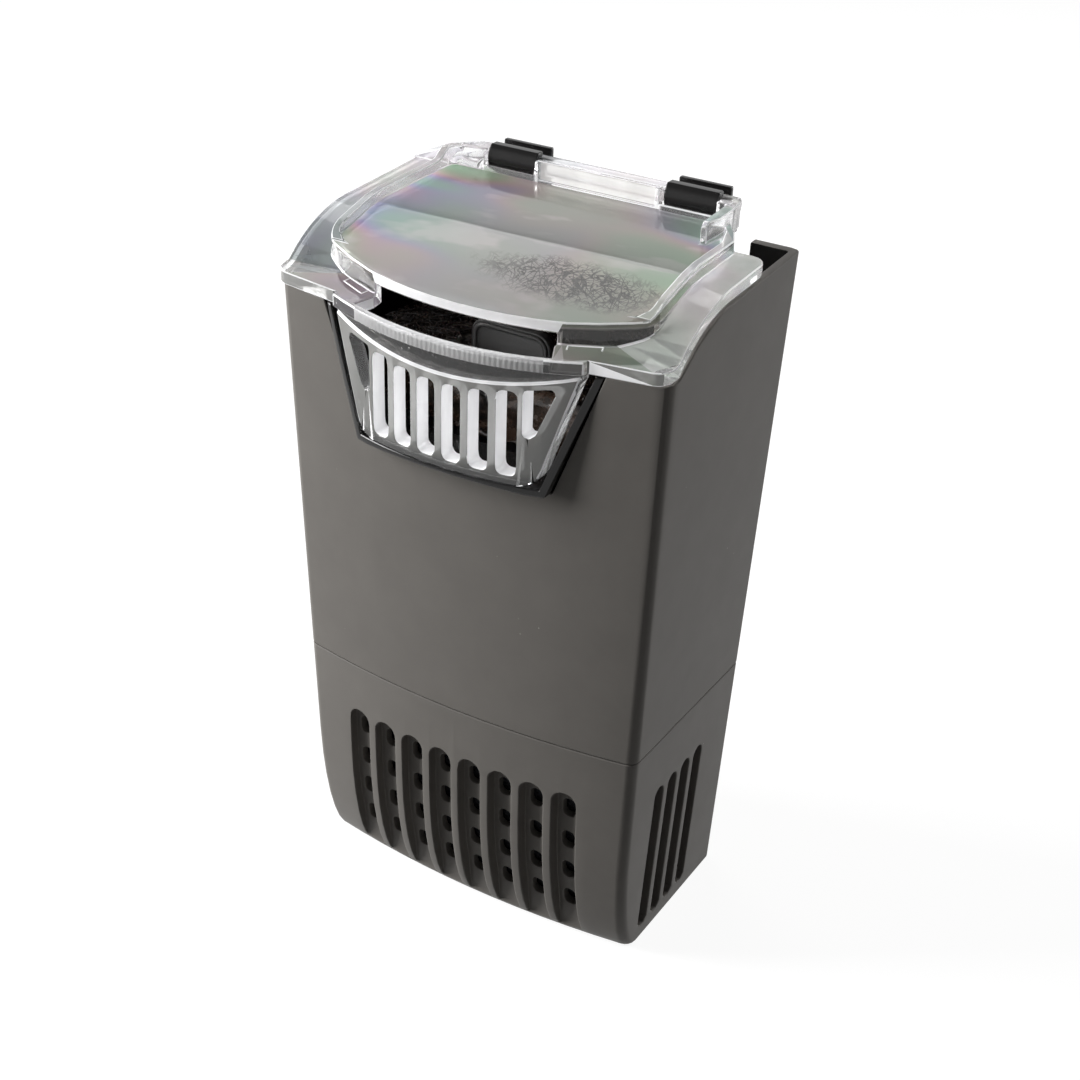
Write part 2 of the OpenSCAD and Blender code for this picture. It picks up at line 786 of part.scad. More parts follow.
// Raised bead along one side of the panel, which climbs to the rear lip
module window_bead(side, rise) {
  y0 = bow_y(window_front, window_half - 5) + 2;
  points = concat(steps(y0, y0 + 6, 4), [crease_y - 3, crease_y + 3],
    steps(window_back - 9, window_back - 3, 4), [window_back + 1]);
  intersection() {
    prism(rim_front_z - 10, rim_z + 20) window_ring();
    along_x(concat([for (y = points) [y, window(y) - 1]],
      [for (i = [len(points) - 1:-1:0]) let (y = points[i])
        [y, window(y) + bead(y - y0) + climb(y, rise)]]));
    translate([side < 0 ? -body_w : -5, -body_d, 0]) cube([body_w + 5, 2 * body_d, big]);
  }
}

module window_beads() {
  window_bead(-1, lip_top - window_z - bead_h - 0.3);
  window_bead(1, 0);
}

module window_panel() {
  intersection() {
    prism(rim_front_z - 10, rim_z + 20) window_plan(eps);
    window_slab(-window_t, 0);
  }
}

// Rear lip with the hinge rod, and the ears and webs that carry it
module cover_hinge() {
  left = -window_half + 5;
  right = ear_x - 0.8;
  low = rim_z + 1.2;
  front = window_back - bead_w;
  difference() {
    union() {
      translate([left, front, low]) cube([right - left, bead_w, lip_top - low]);
      translate([left, front, hinge_z - 1.6]) cube([right - left, hinge_y - front, 3.2]);
      hinge_ear(low + 1);
    }
    for (side = [-1, 1]) clip_relief(side);
    lip_recess();
  }
  translate([0, hinge_y, hinge_z]) rod_x(rod_r, -clip_x - clip_w / 2 - 3.4, ear_x - 1.4);
}

// Shallow recess in the front of the rear lip, between the clips
module lip_recess() {
  front = window_back - bead_w;
  translate([-recess_half, front - 2, window_z + 0.6])
    cube([2 * recess_half, recess_t + 2, 20]);
}

// Height of the rear shoulder over the cover's left part
function shoulder_z(x) = let (u = min(1, (x - band_left) / (shoulder_x - band_left)))
  shoulder_low + (lip_top - 0.4 - shoulder_low) * (1 - pow(1 - u, 1.8));

// Solid of the shoulder that leads from the band up to the hinge rod, inset by t
module shoulder_block(t) {
  r = shoulder_r - t;
  x1 = shoulder_x - t;
  y0 = window_back - 3;
  y1 = hinge_y + rod_r - t;
  xs = concat([band_left + t], [for (x = [band_left + 1:3:shoulder_x - 2.5]) x], [shoulder_x + 1]);
  low = t == 0 ? shoulder_z0 : shoulder_z0 - 10;
  intersection() {
    prism(low, lip_top)
      polygon(concat([[band_left + t, y0 + t], [x1, y0 + t], [x1, y1]],
        arc([band_left + t + r, y1 - r], r, 90, 180, 7)));
    along_y(concat([for (x = xs) [x, shoulder_z(x) - t]], [[shoulder_x + 1, 150], [band_left + t, 150]]),
      y0 - 1, y1 + 1);
    along_x([[y0 - 1, low - 1], [y1 + 1, low - 1], [y1 + 1, lip_top - 1.8 - t], [y1 - 1.2, lip_top + 1 - t],
      [y0 + 6, lip_top + 1 - t], [y0 + 3.6, lip_top - 1.6 - t], [y0 - 1, shoulder_low - 1.6 - t]]);
  }
}

module rear_shoulder() {
  difference() {
    shoulder_block(0);
    shoulder_block(shoulder_t);
  }
}

// Upright ear beside the cable's way out, with a blunt front corner
module hinge_ear(low) {
  top = lip_top - 0.3;
  y = band_rear - 3.4;
  intersection() {
    prism(low, top)
      polygon([[ear_x - 1, y], [ear_x + 0.4, y + 0.4], [ear_x + 1.6, y + 6], [ear_x + 1.2, y + 14],
        [ear_x - 0.2, hinge_y - 1], [ear_x - 2.4, hinge_y - 1]]);
    along_x([[y - 1, low], [y - 1, top - 2], [y + 0.7, top - 0.6], [y + 2.2, top + 1],
      [hinge_y, top + 1], [hinge_y, low]]);
  }
}

// Room in the cover for a clip's jaw, with the lip open in front of it
module clip_relief(side) {
  w = clip_w + 1.2;
  translate([side * clip_x - w / 2, hinge_y - jaw_r - 0.6, rim_z - 10]) cube([w, 20, 40]);
  translate([side * clip_x - w / 2, window_back - bead_w - 2, window_z + 1.4]) cube([w, 20, 20]);
}

function grille_z0() = lip_z + grille_gap;

// Outline of the grille, seen from the front
module grille_outline() {
  z0 = grille_z0();
  z1 = rim_front_z + 1;
  r = 6;
  lean = atan((grille_top - grille_low) / (z1 - z0));
  cx = grille_low - r / cos(lean) + r * tan(lean);
  polygon(concat(
    arc([cx, z0 + r], r, -90, -lean, 5),
    [[grille_top, z1], [-grille_top, z1]],
    arc([-cx, z0 + r], r, 180 + lean, 270, 5)));
}

module grille_slots() {
  z0 = grille_z0();
  for (i = [0:slot_n - 1]) {
    x = (i - (slot_n - 1) / 2) * slot_pitch;
    h = slot_h + x * x / 180;
    polygon(rounded([x, z0 + 2.4 + h / 2], slot_w, h, slot_w * 0.34, 5));
  }
  // Tapered slots outside the row
  in_x = slot_n / 2 * slot_pitch + 0.3;
  for (side = [-1, 1])
    scale([side, 1])
      polygon([[in_x, z0 + 14.2], [in_x + 0.5, z0 + 13.5], [in_x + 1.8, z0 + 13.3],
        [in_x + 3.1, z0 + 14.4], [in_x + 7.6, z0 + 25.4], [in_x + 7.4, z0 + 26.4],
        [in_x + 6.6, z0 + 26.8], [in_x + 0.9, z0 + 25.8], [in_x + 0.2, z0 + 25.4], [in_x, z0 + 24.8]]);
}

// Upper edge of the grille's face, which rises towards the sides
function face_z(x) = grille_z0() + face_h + x * x / 238;

// Room before and behind the thin fascia above the grille's face
module fascia_room() {
  half = grille_top + 3;
  back = grille_y + fascia_set + fascia_t;
  intersection() {
    along_y(concat([for (i = [-10:10]) [half * i / 10, face_z(half * i / 10)]],
      [[half, big], [-half, big]]), grille_y - 10, 0);
    union() {
      difference() {
        bow_block(grille_y - 3, grille_z0(), big);
        bow_block(grille_y + fascia_set, grille_z0() - 1, big + 1);
      }
      bow_block(back, grille_z0(), big);
    }
  }
}

module grille() {
  intersection() {
    difference() {
      bow_block(grille_y, grille_z0() - 2, rim_front_z + 2);
      bow_block(grille_y + grille_t, grille_z0() - 3, rim_front_z + 3);
      fascia_room();
    }
    rotate([90, 0, 0])
      translate([0, 0, 20]) linear_extrude(40)
        difference() {
          grille_outline();
          grille_slots();
        }
    // The grille ends within the band's thickness
    rim_slab(-60, cover_gap + band_t / 2);
  }
}

module top_cover() {
  color([0.85, 0.9, 0.92, 0.4])
    union() {
      difference() {
        union() {
          cover_band();
          window_walls();
          window_beads();
          window_panel();
        }
        for (side = [-1, 1]) clip_relief(side);
        lip_recess();
      }
      cover_hinge();
      rear_shoulder();
      grille();
    }
}

// ---- Suction cups ----

module cup_profile() {
  rotate_extrude()
    polygon([[0, -wall - 1.6], [neck_r + 0.8, -wall - 1.2], [neck_r + 0.8, -wall - 0.2],
      [neck_r, -wall - 0.1], [neck_r, boss_t + 0.1], [neck_r + 3, boss_t + 0.3],
      [cup_r * 0.6, boss_t + 1.2], [cup_r, boss_t + cup_t - 0.8], [cup_r, boss_t + cup_t],
      [cup_r - 1.2, boss_t + cup_t], [cup_r * 0.55, boss_t + 3.2], [0, boss_t + 2.6]]);
}

module suction_cups() {
  color([0.75, 0.78, 0.8])
    for (side = [-1, 1])
      along_back(side * cup_x, cup_z) cup_profile();
}

// ---- Pump ----

module at_pump(x) {
  translate([x, pump_y, pump_z]) children();
}

module motor_block(t) {
  r = 5 - t;
  h = motor_h - 2 * t;
  d = motor_d - 2 * t;
  translate([t, 0, 0]) rotate([90, 0, 90])
    linear_extrude(motor_l - 2 * t) polygon(rounded([0, 0], d, h, r));
}

module motor_housing() {
  color([0.08, 0.08, 0.085])
    at_pump(motor_x)
      difference() {
        union() {
          difference() {
            motor_block(0);
            motor_block(motor_wall);
          }
          rod_x(well_r + well_wall, motor_l - well_l - well_wall, motor_l);
        }
        rod_x(well_r, motor_l - well_l, motor_l + 1);
        // Seat of the rear bush
        rod_x(bush_r, motor_l - well_l - 0.6, motor_l);
        translate([-1, 0, 0]) rotate([0, 90, 0]) cylinder(r = gland_r, h = motor_wall + 2);
      }
}

module stator_core() {
  half = motor_h / 2 - motor_wall - core_gap;
  coil_y = well_r + well_wall - 0.4;
  color([0.35, 0.36, 0.38])
    at_pump(motor_x + core_x)
      difference() {
        translate([0, -half + 1, -half]) cube([core_w, leg_y1 + half - 1, 2 * half]);
        rod_x(well_r + well_wall + core_gap, -1, core_w + 1);
        // Window of the coil between the poles and the leg
        translate([-1, coil_y, -half + yoke_h])
          cube([core_w + 2, leg_y0 - coil_y, 2 * (half - yoke_h)]);
        // Air gap between the two poles, away from the leg
        translate([-1, -half - 1, -1]) cube([core_w + 2, half, 2]);
      }
}

module stator_coil() {
  half = motor_h / 2 - motor_wall - core_gap;
  t = coil_t;
  gap = coil_gap;
  inner = leg_y1 - leg_y0 + 2 * gap;
  low = yoke_h + coil_gap + 0.1;
  color([0.62, 0.32, 0.14])
    at_pump(motor_x + core_x)
      difference() {
        translate([-t - gap, leg_y0 - t - gap, -half + low])
          cube([core_w + 2 * (t + gap), inner + 2 * t, 2 * (half - low)]);
        translate([-gap, leg_y0 - gap, -half]) cube([core_w + 2 * gap, inner, 2 * half]);
      }
}

module chamber_ports() {
  for (k = [0:3])
    rotate([45 + 90 * k, 0, 0]) translate([-1, 0, 4.6])
      rotate([0, 90, 0]) cylinder(r = 1.5, h = 6);
}

module impeller_cover() {
  inner_r = chamber_r - chamber_wall;
  color([0.08, 0.08, 0.085])
    at_pump(chamber_x + seal_t)
      difference() {
        union() {
          rod_x(chamber_r, 0, chamber_l - seal_t);
          // Inlet boss with its closed end
          rod_x(inlet_r, chamber_l - seal_t - eps, chamber_l - seal_t + inlet_l);
          translate([outlet_x - chamber_x - seal_t, 0, chamber_r - 6])
            cylinder(r = nozzle_r, h = nozzle_top - pump_z - chamber_r + 6);
        }
        rod_x(inner_r, -1, chamber_l - seal_t - chamber_wall);
        rod_x(inlet_r - 1.4, chamber_l - seal_t - chamber_wall - 1, chamber_l - seal_t + inlet_l - 1.4);
        translate([chamber_l - seal_t + inlet_l - 2, 0, 0]) chamber_ports();
        translate([outlet_x - chamber_x - seal_t, 0, 0]) cylinder(r = nozzle_r - tube_wall, h = 60);
      }
}

module chamber_seal() {
  color([0.1, 0.1, 0.1])
    at_pump(chamber_x)
      difference() {
        rod_x(chamber_r - 0.4, 0, seal_t);
        rod_x(chamber_r - chamber_wall - 0.2, -1, seal_t + 1);
      }
}

module rotor_magnet() {
  color([0.2, 0.2, 0.21])
    at_pump(rotor_x)
      difference() {
        rod_x(rotor_r, 0, rotor_l);
        rod_x(shaft_r + shaft_gap, -1, rotor_l + 1);
      }
}

module impeller_wheel() {
  hub_r = 4.4;
  color([0.9, 0.9, 0.88])
    at_pump(rotor_x + rotor_l)
      difference() {
        union() {
          rod_x(hub_r, 0, blade_w + 1);
          rod_x(hub_r + 2.4, 1.4, 2.6);
          for (k = [0:blade_n - 1])
            rotate([360 / blade_n * k, 0, 0])
              translate([1.5, -0.6, 2]) cube([blade_w - 0.5, 1.2, blade_r - 2]);
        }
        rod_x(shaft_r + shaft_gap, -1, blade_w + 3);
      }
}

module impeller_shaft() {
  color([0.95, 0.95, 0.93])
    at_pump(0) rod_x(shaft_r, shaft_x0 + 0.2, shaft_x1 - 0.3);
}

module shaft_bushes() {
  color([0.12, 0.12, 0.12])
    at_pump(0) {
      difference() {
        rod_x(bush_r - 0.05, shaft_x0 - 0.5, shaft_x0 + 1.6);
        rod_x(shaft_r + 0.02, shaft_x0 + 0.15, shaft_x0 + 2);
      }
      difference() {
        rod_x(bush_r - 0.05, chamber_x + blade_w + 1, shaft_x1 - 0.1);
        rod_x(shaft_r + 0.02, chamber_x, shaft_x1 - 0.25);
      }
    }
}

module flow_dial() {
  x0 = chamber_x + chamber_l + 0.3;
  x1 = chamber_x + chamber_l + inlet_l + 0.3;
  color([0.45, 0.46, 0.48])
    at_pump(0)
      difference() {
        union() {
          rod_x(dial_r, x0, x1 + dial_t);
          translate([x0, -1.5, dial_r - 1]) cube([x1 + dial_t - x0, 3, 4]);
        }
        rod_x(inlet_r + 0.06, x0 - 1, x1);
        translate([x1, 0, 0]) chamber_ports();
      }
}

module cable_gland() {
  color([0.1, 0.1, 0.1])
    at_pump(motor_x)
      union() {
        rod_x(gland_r - 0.05, -7, motor_wall);
        rod_x(gland_r + 1.6, -3, -0.2);
      }
}

module pump_feet() {
  color([0.1, 0.1, 0.1])
    for (x = [motor_x + foot_in, motor_x + motor_l - foot_in])
      for (y = [pump_y - motor_d / 2 + foot_in + 1, pump_y + motor_d / 2 - foot_in - 1])
        translate([x, y, base_floor])
          rotate_extrude()
            polygon([[0, 0], [foot_r, 0], [foot_r, 0.8], [2.6, 2.4], [2.6, foot_h], [0, foot_h]]);
}

module outlet_tube() {
  color([0.2, 0.2, 0.21])
    translate([outlet_x, pump_y, 0])
      difference() {
        translate([0, 0, tube_low]) cylinder(r = nozzle_r + tube_wall, h = tube_top - tube_low);
        translate([0, 0, tube_low - 1]) cylinder(r = nozzle_r + 0.1, h = tube_top - tube_low + 2);
      }
}

module floor_grommet() {
  outer = grommet_r - 0.05;
  lip = grommet_r + 1.8;
  color([0.12, 0.12, 0.12])
    translate([outlet_x, pump_y, 0])
      difference() {
        union() {
          translate([0, 0, seam_z - grommet_t]) cylinder(r = outer, h = upper_floor + 2 * grommet_t);
          translate([0, 0, seam_z - grommet_t - 0.1]) cylinder(r = lip, h = grommet_t);
          translate([0, 0, floor_top + 0.1]) cylinder(r = lip, h = grommet_t);
        }
        translate([0, 0, seam_z - 3 * grommet_t])
          cylinder(r = nozzle_r + tube_wall + 0.05, h = upper_floor + 6 * grommet_t);
      }
}

// ---- Foam at the intake ----

module intake_foam() {
  z0 = base_floor + soft_gap;
  z1 = groove_top;
  color([0.16, 0.17, 0.19])
    difference() {
      loft([z0, 14, 28, z1], [for (z = [z0, 14, 28, z1])
        plan(z, base_side + soft_gap, base_front + soft_gap, wall, 2)]);
      translate([-big / 2, front_y(seam_z) + base_front + soft_gap + intake_t - front_bow, -1])
        cube([big, big, big]);
    }
}

// ---- Media ----

// Plan of the basket inset from its outer face
module basket_block(z0, z1, t = 0) {
  i = basket_side + t;
  inset_block(z0, z1, i, i + spout_in - wall + 1, i, max(basket_r - t, 1));
}

module media_basket() {
  color([0.17, 0.17, 0.18])
    union() {
      difference() {
        basket_block(basket_z, basket_top);
        basket_block(basket_z + basket_wall, basket_top + 1, basket_wall);
        basket_slots();
      }
      grip();
    }
}

module basket_slots() {
  // Slots in the floor
  for (i = [-5:5]) for (y = [-8, 4, 16])
    translate([i * basket_step - 2, y - 4, basket_z - 1]) cube([4, 9, basket_wall + 2]);
  // Slits through both side walls
  for (k = [0:3])
    translate([-big / 2, -6 + k * basket_step, basket_z + 10]) cube([big, 3, basket_h - 20]);
}

// Upright grip plate that rises from the basket's floor through the media
module grip() {
  top = basket_top + grip_h;
  along_y(concat([[-grip_w / 2, basket_z], [grip_w / 2, basket_z]],
    arc([grip_w / 2 - 4, top - 4], 4, 0, 90, 4),
    arc([-grip_w / 2 + 4, top - 4], 4, 90, 180, 4)), grip_y, grip_y + grip_t);
}

module grip_clearance() {
  g = soft_gap;
  translate([-grip_w / 2 - g, grip_y - g, basket_z]) cube([grip_w + 2 * g, grip_t + 2 * g, 120]);
}

module media_stage(z0, h) {
  difference() {
    basket_block(z0, z0 + h, basket_wall + soft_gap);
    grip_clearance();
  }
}

module foam_block() {
  color([0.2, 0.22, 0.3]) media_stage(foam_z, foam_h);
}

module carbon_cartridge() {
  color([0.07, 0.07, 0.07]) media_stage(carbon_z, carbon_h);
}

// Rows of ceramic rings that stand on the carbon cartridge
module ceramic_rings() {
  step = 2 * ring_r + 0.8;
  color([0.86, 0.8, 0.7])
    for (row = [0:2]) for (i = [-3:3]) {
      y = [grip_y - ring_r - 0.5, grip_y + grip_t + ring_r + 3.3,
        grip_y + grip_t + 3 * ring_r + 5.3][row];
      translate([i * step, y, ring_z])
        difference() {
          cylinder(r = ring_r, h = ring_h, $fn = 24);
          translate([0, 0, -1]) cylinder(r = 2, h = ring_h + 2, $fn = 20);
        }
    }
}

module basket_grid() {
  color([0.17, 0.17, 0.18])
    difference() {
      basket_block(grid_z, grid_z + 1.8, basket_wall + soft_gap);
      grip_clearance();
      for (i = [-5:5]) for (y = [0:8:22])
        translate([i * 8 - 2.5, y - 5, grid_z - 1]) cube([5, 6, 4]);
    }
}

// Plate with holes that spreads the flow below the basket
module diffuser_plate() {
  z = basket_z - 1.8;
  color([0.17, 0.17, 0.18])
    difference() {
      union() {
        basket_block(z, z + 1.6);
        for (x = [-40, 40]) for (y = [-16, 18])
          translate([x, y, floor_top + 0.1]) cylinder(r = 2.4, h = z - floor_top);
      }
      for (i = [-4:4]) for (k = [-2:2])
        translate([i * 9, k * 7 + 2, z - 1]) cylinder(r = 2, h = 4, $fn = 20);
    }
}

module fibre_pad() {
  color([0.1, 0.09, 0.08])
    difference() {
      loft([fibre_z, fibre_z + 3, fibre_z + fibre_h - 4, fibre_z + fibre_h],
        [for (s = [3, 0.6, 0.6, 5])
          plan(fibre_z, basket_side + s, basket_side + 7 + s, basket_side + s, 3)]);
      grip_clearance();
    }
}

strainer_base();
upper_housing();
outlet_spout();
hinge_clip_left();
hinge_clip_right();
top_cover();
suction_cups();
intake_foam();
motor_housing();
stator_core();
stator_coil();
impeller_cover();
chamber_seal();
rotor_magnet();
impeller_wheel();
impeller_shaft();
shaft_bushes();
flow_dial();
cable_gland();
pump_feet();
outlet_tube();
floor_grommet();
diffuser_plate();
media_basket();
foam_block();
carbon_cartridge();
ceramic_rings();
basket_grid();
fibre_pad();
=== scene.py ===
import json
import math
import random

import bmesh
import bpy
from mathutils import Matrix, Vector, noise
from mathutils.bvhtree import BVHTree

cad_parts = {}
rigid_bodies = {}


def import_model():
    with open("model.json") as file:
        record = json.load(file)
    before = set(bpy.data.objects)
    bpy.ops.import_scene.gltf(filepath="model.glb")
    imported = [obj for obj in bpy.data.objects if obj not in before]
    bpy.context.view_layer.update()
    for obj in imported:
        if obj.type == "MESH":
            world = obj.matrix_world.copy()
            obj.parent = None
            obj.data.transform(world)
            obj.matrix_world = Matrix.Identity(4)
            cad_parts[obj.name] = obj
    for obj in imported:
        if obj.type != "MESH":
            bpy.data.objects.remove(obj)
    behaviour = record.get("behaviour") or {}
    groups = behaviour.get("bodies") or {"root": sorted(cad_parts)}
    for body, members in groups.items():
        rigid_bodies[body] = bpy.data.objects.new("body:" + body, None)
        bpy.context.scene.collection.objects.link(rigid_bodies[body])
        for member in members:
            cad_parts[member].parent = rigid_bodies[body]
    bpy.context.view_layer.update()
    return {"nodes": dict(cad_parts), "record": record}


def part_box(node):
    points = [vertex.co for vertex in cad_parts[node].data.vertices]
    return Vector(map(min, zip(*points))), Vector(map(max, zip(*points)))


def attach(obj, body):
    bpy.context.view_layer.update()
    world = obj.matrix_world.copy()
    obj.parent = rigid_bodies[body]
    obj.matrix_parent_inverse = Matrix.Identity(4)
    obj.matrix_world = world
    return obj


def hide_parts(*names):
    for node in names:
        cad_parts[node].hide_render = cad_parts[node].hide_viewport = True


for old in list(bpy.data.objects):
    bpy.data.objects.remove(old)  # the start-up cube, lamp and camera

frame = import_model()
random.seed(7)
print("frame loaded:", len(frame["nodes"]), "nodes")

# objects, meshes and nodes


def newObject(name, data):
    thing = bpy.data.objects.new(name, data)
    bpy.context.collection.objects.link(thing)
    return thing


def meshFrom(bm, name):
    mesh = bpy.data.meshes.new(name)
    bm.to_mesh(mesh)
    bm.free()
    return mesh


def feed(tree, node, values):
    # values by the input's name or number: a socket is linked, anything else is set
    for label, value in values.items():
        if hasattr(value, "is_output"):
            tree.links.new(value, node.inputs[label])
        else:
            node.inputs[label].default_value = value


def newNode(tree, kind, values=None):
    node = tree.nodes.new("ShaderNode" + kind)
    feed(tree, node, values or {})
    return node


def mathNode(tree, operation, *values, clamp=False):
    node = newNode(tree, "Math")
    node.operation = operation
    node.use_clamp = clamp
    feed(tree, node, dict(enumerate(values)))
    return node.outputs[0]


def vectorMath(tree, operation, a, b):
    scaled = operation == "SCALE"  # it takes a factor and gives a vector, the others a number
    node = newNode(tree, "VectorMath")
    node.operation = operation
    feed(tree, node, {0: a, "Scale" if scaled else 1: b})
    return node.outputs["Vector" if scaled else "Value"]


def rangeNode(tree, value, low, high, toLow=0.0, toHigh=1.0):
    limits = {"From Min": low, "From Max": high, "To Min": toLow, "To Max": toHigh}
    return newNode(tree, "MapRange", {"Value": value, **limits}).outputs["Result"]


def mixColour(tree, factor, a, b):
    node = newNode(tree, "Mix")
    node.data_type = "RGBA"
    feed(tree, node, {0: factor, 6: a, 7: b})  # 6 and 7 take its colours, and output 2 gives one
    return node.outputs[2]


def stretched(tree, vector, scale, turn=(0, 0, 0)):
    values = {"Vector": vector, "Scale": scale, "Rotation": turn}
    return newNode(tree, "Mapping", values).outputs[0]


def axisOf(tree, vector, axis):
    return newNode(tree, "SeparateXYZ", {0: vector}).outputs[axis]


def noiseNode(tree, vector, scale, detail=3.0, rough=0.5, stretch=None, turn=(0, 0, 0),
              spread=None):
    # stretch and turn act on the place, and spread turns a range of the noise into another
    if stretch:
        vector = stretched(tree, vector, stretch, turn)
    values = {"Vector": vector, "Scale": scale, "Detail": detail, "Roughness": rough}
    value = newNode(tree, "TexNoise", values).outputs["Fac"]
    return rangeNode(tree, value, *spread) if spread else value


def cellNode(tree, vector, scale):
    return newNode(tree, "TexVoronoi", {"Vector": vector, "Scale": scale}).outputs["Distance"]


def waveNode(tree, vector, scale, axis, distortion=0.0):
    values = {"Vector": vector, "Scale": scale, "Distortion": distortion}
    node = newNode(tree, "TexWave", values)
    node.bands_direction = axis
    return node.outputs["Fac"]


def bumpNode(tree, height, distance, strength=1.0, invert=False):
    values = {"Height": height, "Distance": distance, "Strength": strength}
    node = newNode(tree, "Bump", values)
    node.invert = invert
    return node.outputs[0]


def mixShader(tree, factor, first, second):
    return newNode(tree, "MixShader", {0: factor, 1: first, 2: second}).outputs[0]


# camera, light and floor

cameraSetup = {
    "place": (0.22218, -0.36256, 0.35053),
    "azimuth": 30.995,
    "elevation": 29.705,
    "roll": 1.917,
    "lens": 58.5,
    "sensor": 36,
    "clipStart": 0.01,
}


def addCamera(setup):
    turn, lift, roll = (math.radians(setup[k]) for k in ("azimuth", "elevation", "roll"))
    flat = math.cos(lift)
    back = Vector((math.sin(turn) * flat, -math.cos(turn) * flat, math.sin(lift)))
    side = Vector((math.cos(turn), math.sin(turn), 0))
    top = back.cross(side)
    right = side * math.cos(roll) + top * math.sin(roll)
    up = top * math.cos(roll) - side * math.sin(roll)
    data = bpy.data.cameras.new("studioCamera")
    data.lens = setup["lens"]
    data.sensor_width = setup["sensor"]
    data.clip_start = setup["clipStart"]
    camera = newObject("studioCamera", data)
    camera.matrix_world = Matrix((right, up, back)).transposed().to_4x4()
    camera.location = setup["place"]
    bpy.context.scene.camera = camera


studio = {
    "worldFill": 0.072,  # level that lights the object
    "zenith": 0.3,  # the white wall behind the floor fades to this grey overhead
    "fadeHeights": (0.4, 0.72),
    "floorColour": (0.22, 0.22, 0.22, 1),
    "floorLift": 0.9,  # added for the camera, mirrors and glass alone
    "floorRadius": 6,
    "floorCorners": 64,
    "softboxes": [
        # name, place, aim, size, watts
        ("leftBox", (-1.15, -0.57, 0.54), (0, 0, 0.10), (0.6, 0.9), 35.0),
        ("rightBox", (0.67, 1.08, 0.55), (0, 0, 0.10), (0.5, 0.8), 8.0),
        ("roofBox", (-0.455, 0.435, 0.835), (0, -0.02, 0.195), (0.5, 0.36), 1.2),
    ],
}
white = (1, 1, 1, 1)


def addSoftbox(name, place, aim, size, watts):
    data = bpy.data.lights.new(name, "AREA")
    data.shape = "RECTANGLE"
    data.size, data.size_y = size
    data.energy = watts
    lamp = newObject(name, data)
    lamp.location = place
    lamp.rotation_euler = (Vector(place) - Vector(aim)).to_track_quat("Z", "Y").to_euler()


def seenDirectly(tree):
    # 1 for the camera, mirrors and glass, 0 for the light that falls on the object
    path = newNode(tree, "LightPath").outputs
    mirrored = mathNode(tree, "MAXIMUM", path["Is Camera Ray"], path["Is Glossy Ray"])
    return mathNode(tree, "MAXIMUM", mirrored, path["Is Transmission Ray"])


def addWorld(setup):
    world = bpy.data.worlds.new("studioWorld")
    bpy.context.scene.world = world
    world.use_nodes = True
    tree = world.node_tree
    tree.nodes.clear()
    height = axisOf(tree, newNode(tree, "TexCoord").outputs["Generated"], "Z")
    fade = rangeNode(tree, height, *setup["fadeHeights"], 1.0, setup["zenith"])
    wall = newNode(tree, "Background", {"Color": white, "Strength": fade})
    fill = newNode(tree, "Background", {"Color": white, "Strength": setup["worldFill"]})
    both = mixShader(tree, seenDirectly(tree), fill.outputs[0], wall.outputs[0])
    newNode(tree, "OutputWorld", {"Surface": both})


def addFloor(setup):
    bm = bmesh.new()
    bmesh.ops.create_circle(bm, cap_ends=True, segments=setup["floorCorners"],
                            radius=setup["floorRadius"])
    floor = newObject("floor", meshFrom(bm, "floor"))
    material = bpy.data.materials.new("floorPaper")
    material.use_nodes = True
    tree = material.node_tree
    tree.nodes.clear()
    paper = newNode(tree, "BsdfDiffuse", {"Color": setup["floorColour"]})
    level = mathNode(tree, "MULTIPLY", seenDirectly(tree), setup["floorLift"])
    glow = newNode(tree, "Emission", {"Strength": level})
    both = newNode(tree, "AddShader", {0: paper.outputs[0], 1: glow.outputs[0]})
    newNode(tree, "OutputMaterial", {"Surface": both.outputs[0]})
    floor.data.materials.append(material)


addCamera(cameraSetup)
addWorld(studio)
addFloor(studio)
for box in studio["softboxes"]:
    addSoftbox(*box)
bpy.context.scene.view_settings.view_transform = "Standard"
print("camera, light and floor ready")

# shader groups


def newGroup(name, inputs, outputs):
    group = bpy.data.node_groups.new(name, "ShaderNodeTree")
    for side, sockets in (("INPUT", inputs), ("OUTPUT", outputs)):
        for label, kind in sockets.items():
            group.interface.new_socket(label, in_out=side, socket_type="NodeSocket" + kind)
    given = group.nodes.new("NodeGroupInput").outputs
    return group, given, group.nodes.new("NodeGroupOutput")


plasticSetup = {
    "cloud": {"scale": 55.0, "detail": 4.0, "rough": 0.6},
    "cloudRange": (0.3, 0.7),
    "speckScale": 230.0,
    "speckEdge": (0.05, 0.03),
    "speckPatch": {"scale": 90.0, "detail": 2.0, "spread": (0.58, 0.66)},
    "speckColour": (0.55, 0.53, 0.5, 1),
    "grain": {"detail": 2.0, "rough": 0.6},
    "sheen": {"scale": 160.0, "detail": 2.0},
}
edgeSetup = {
    "samples": 4,
    "radius": 0.0006,
    "alike": (0.995, 0.9),  # how alike the two normals are on a flat and on an edge
    "patch": {"scale": 420.0, "detail": 3.0, "spread": (0.35, 0.65, 0.35, 1.0)},
}


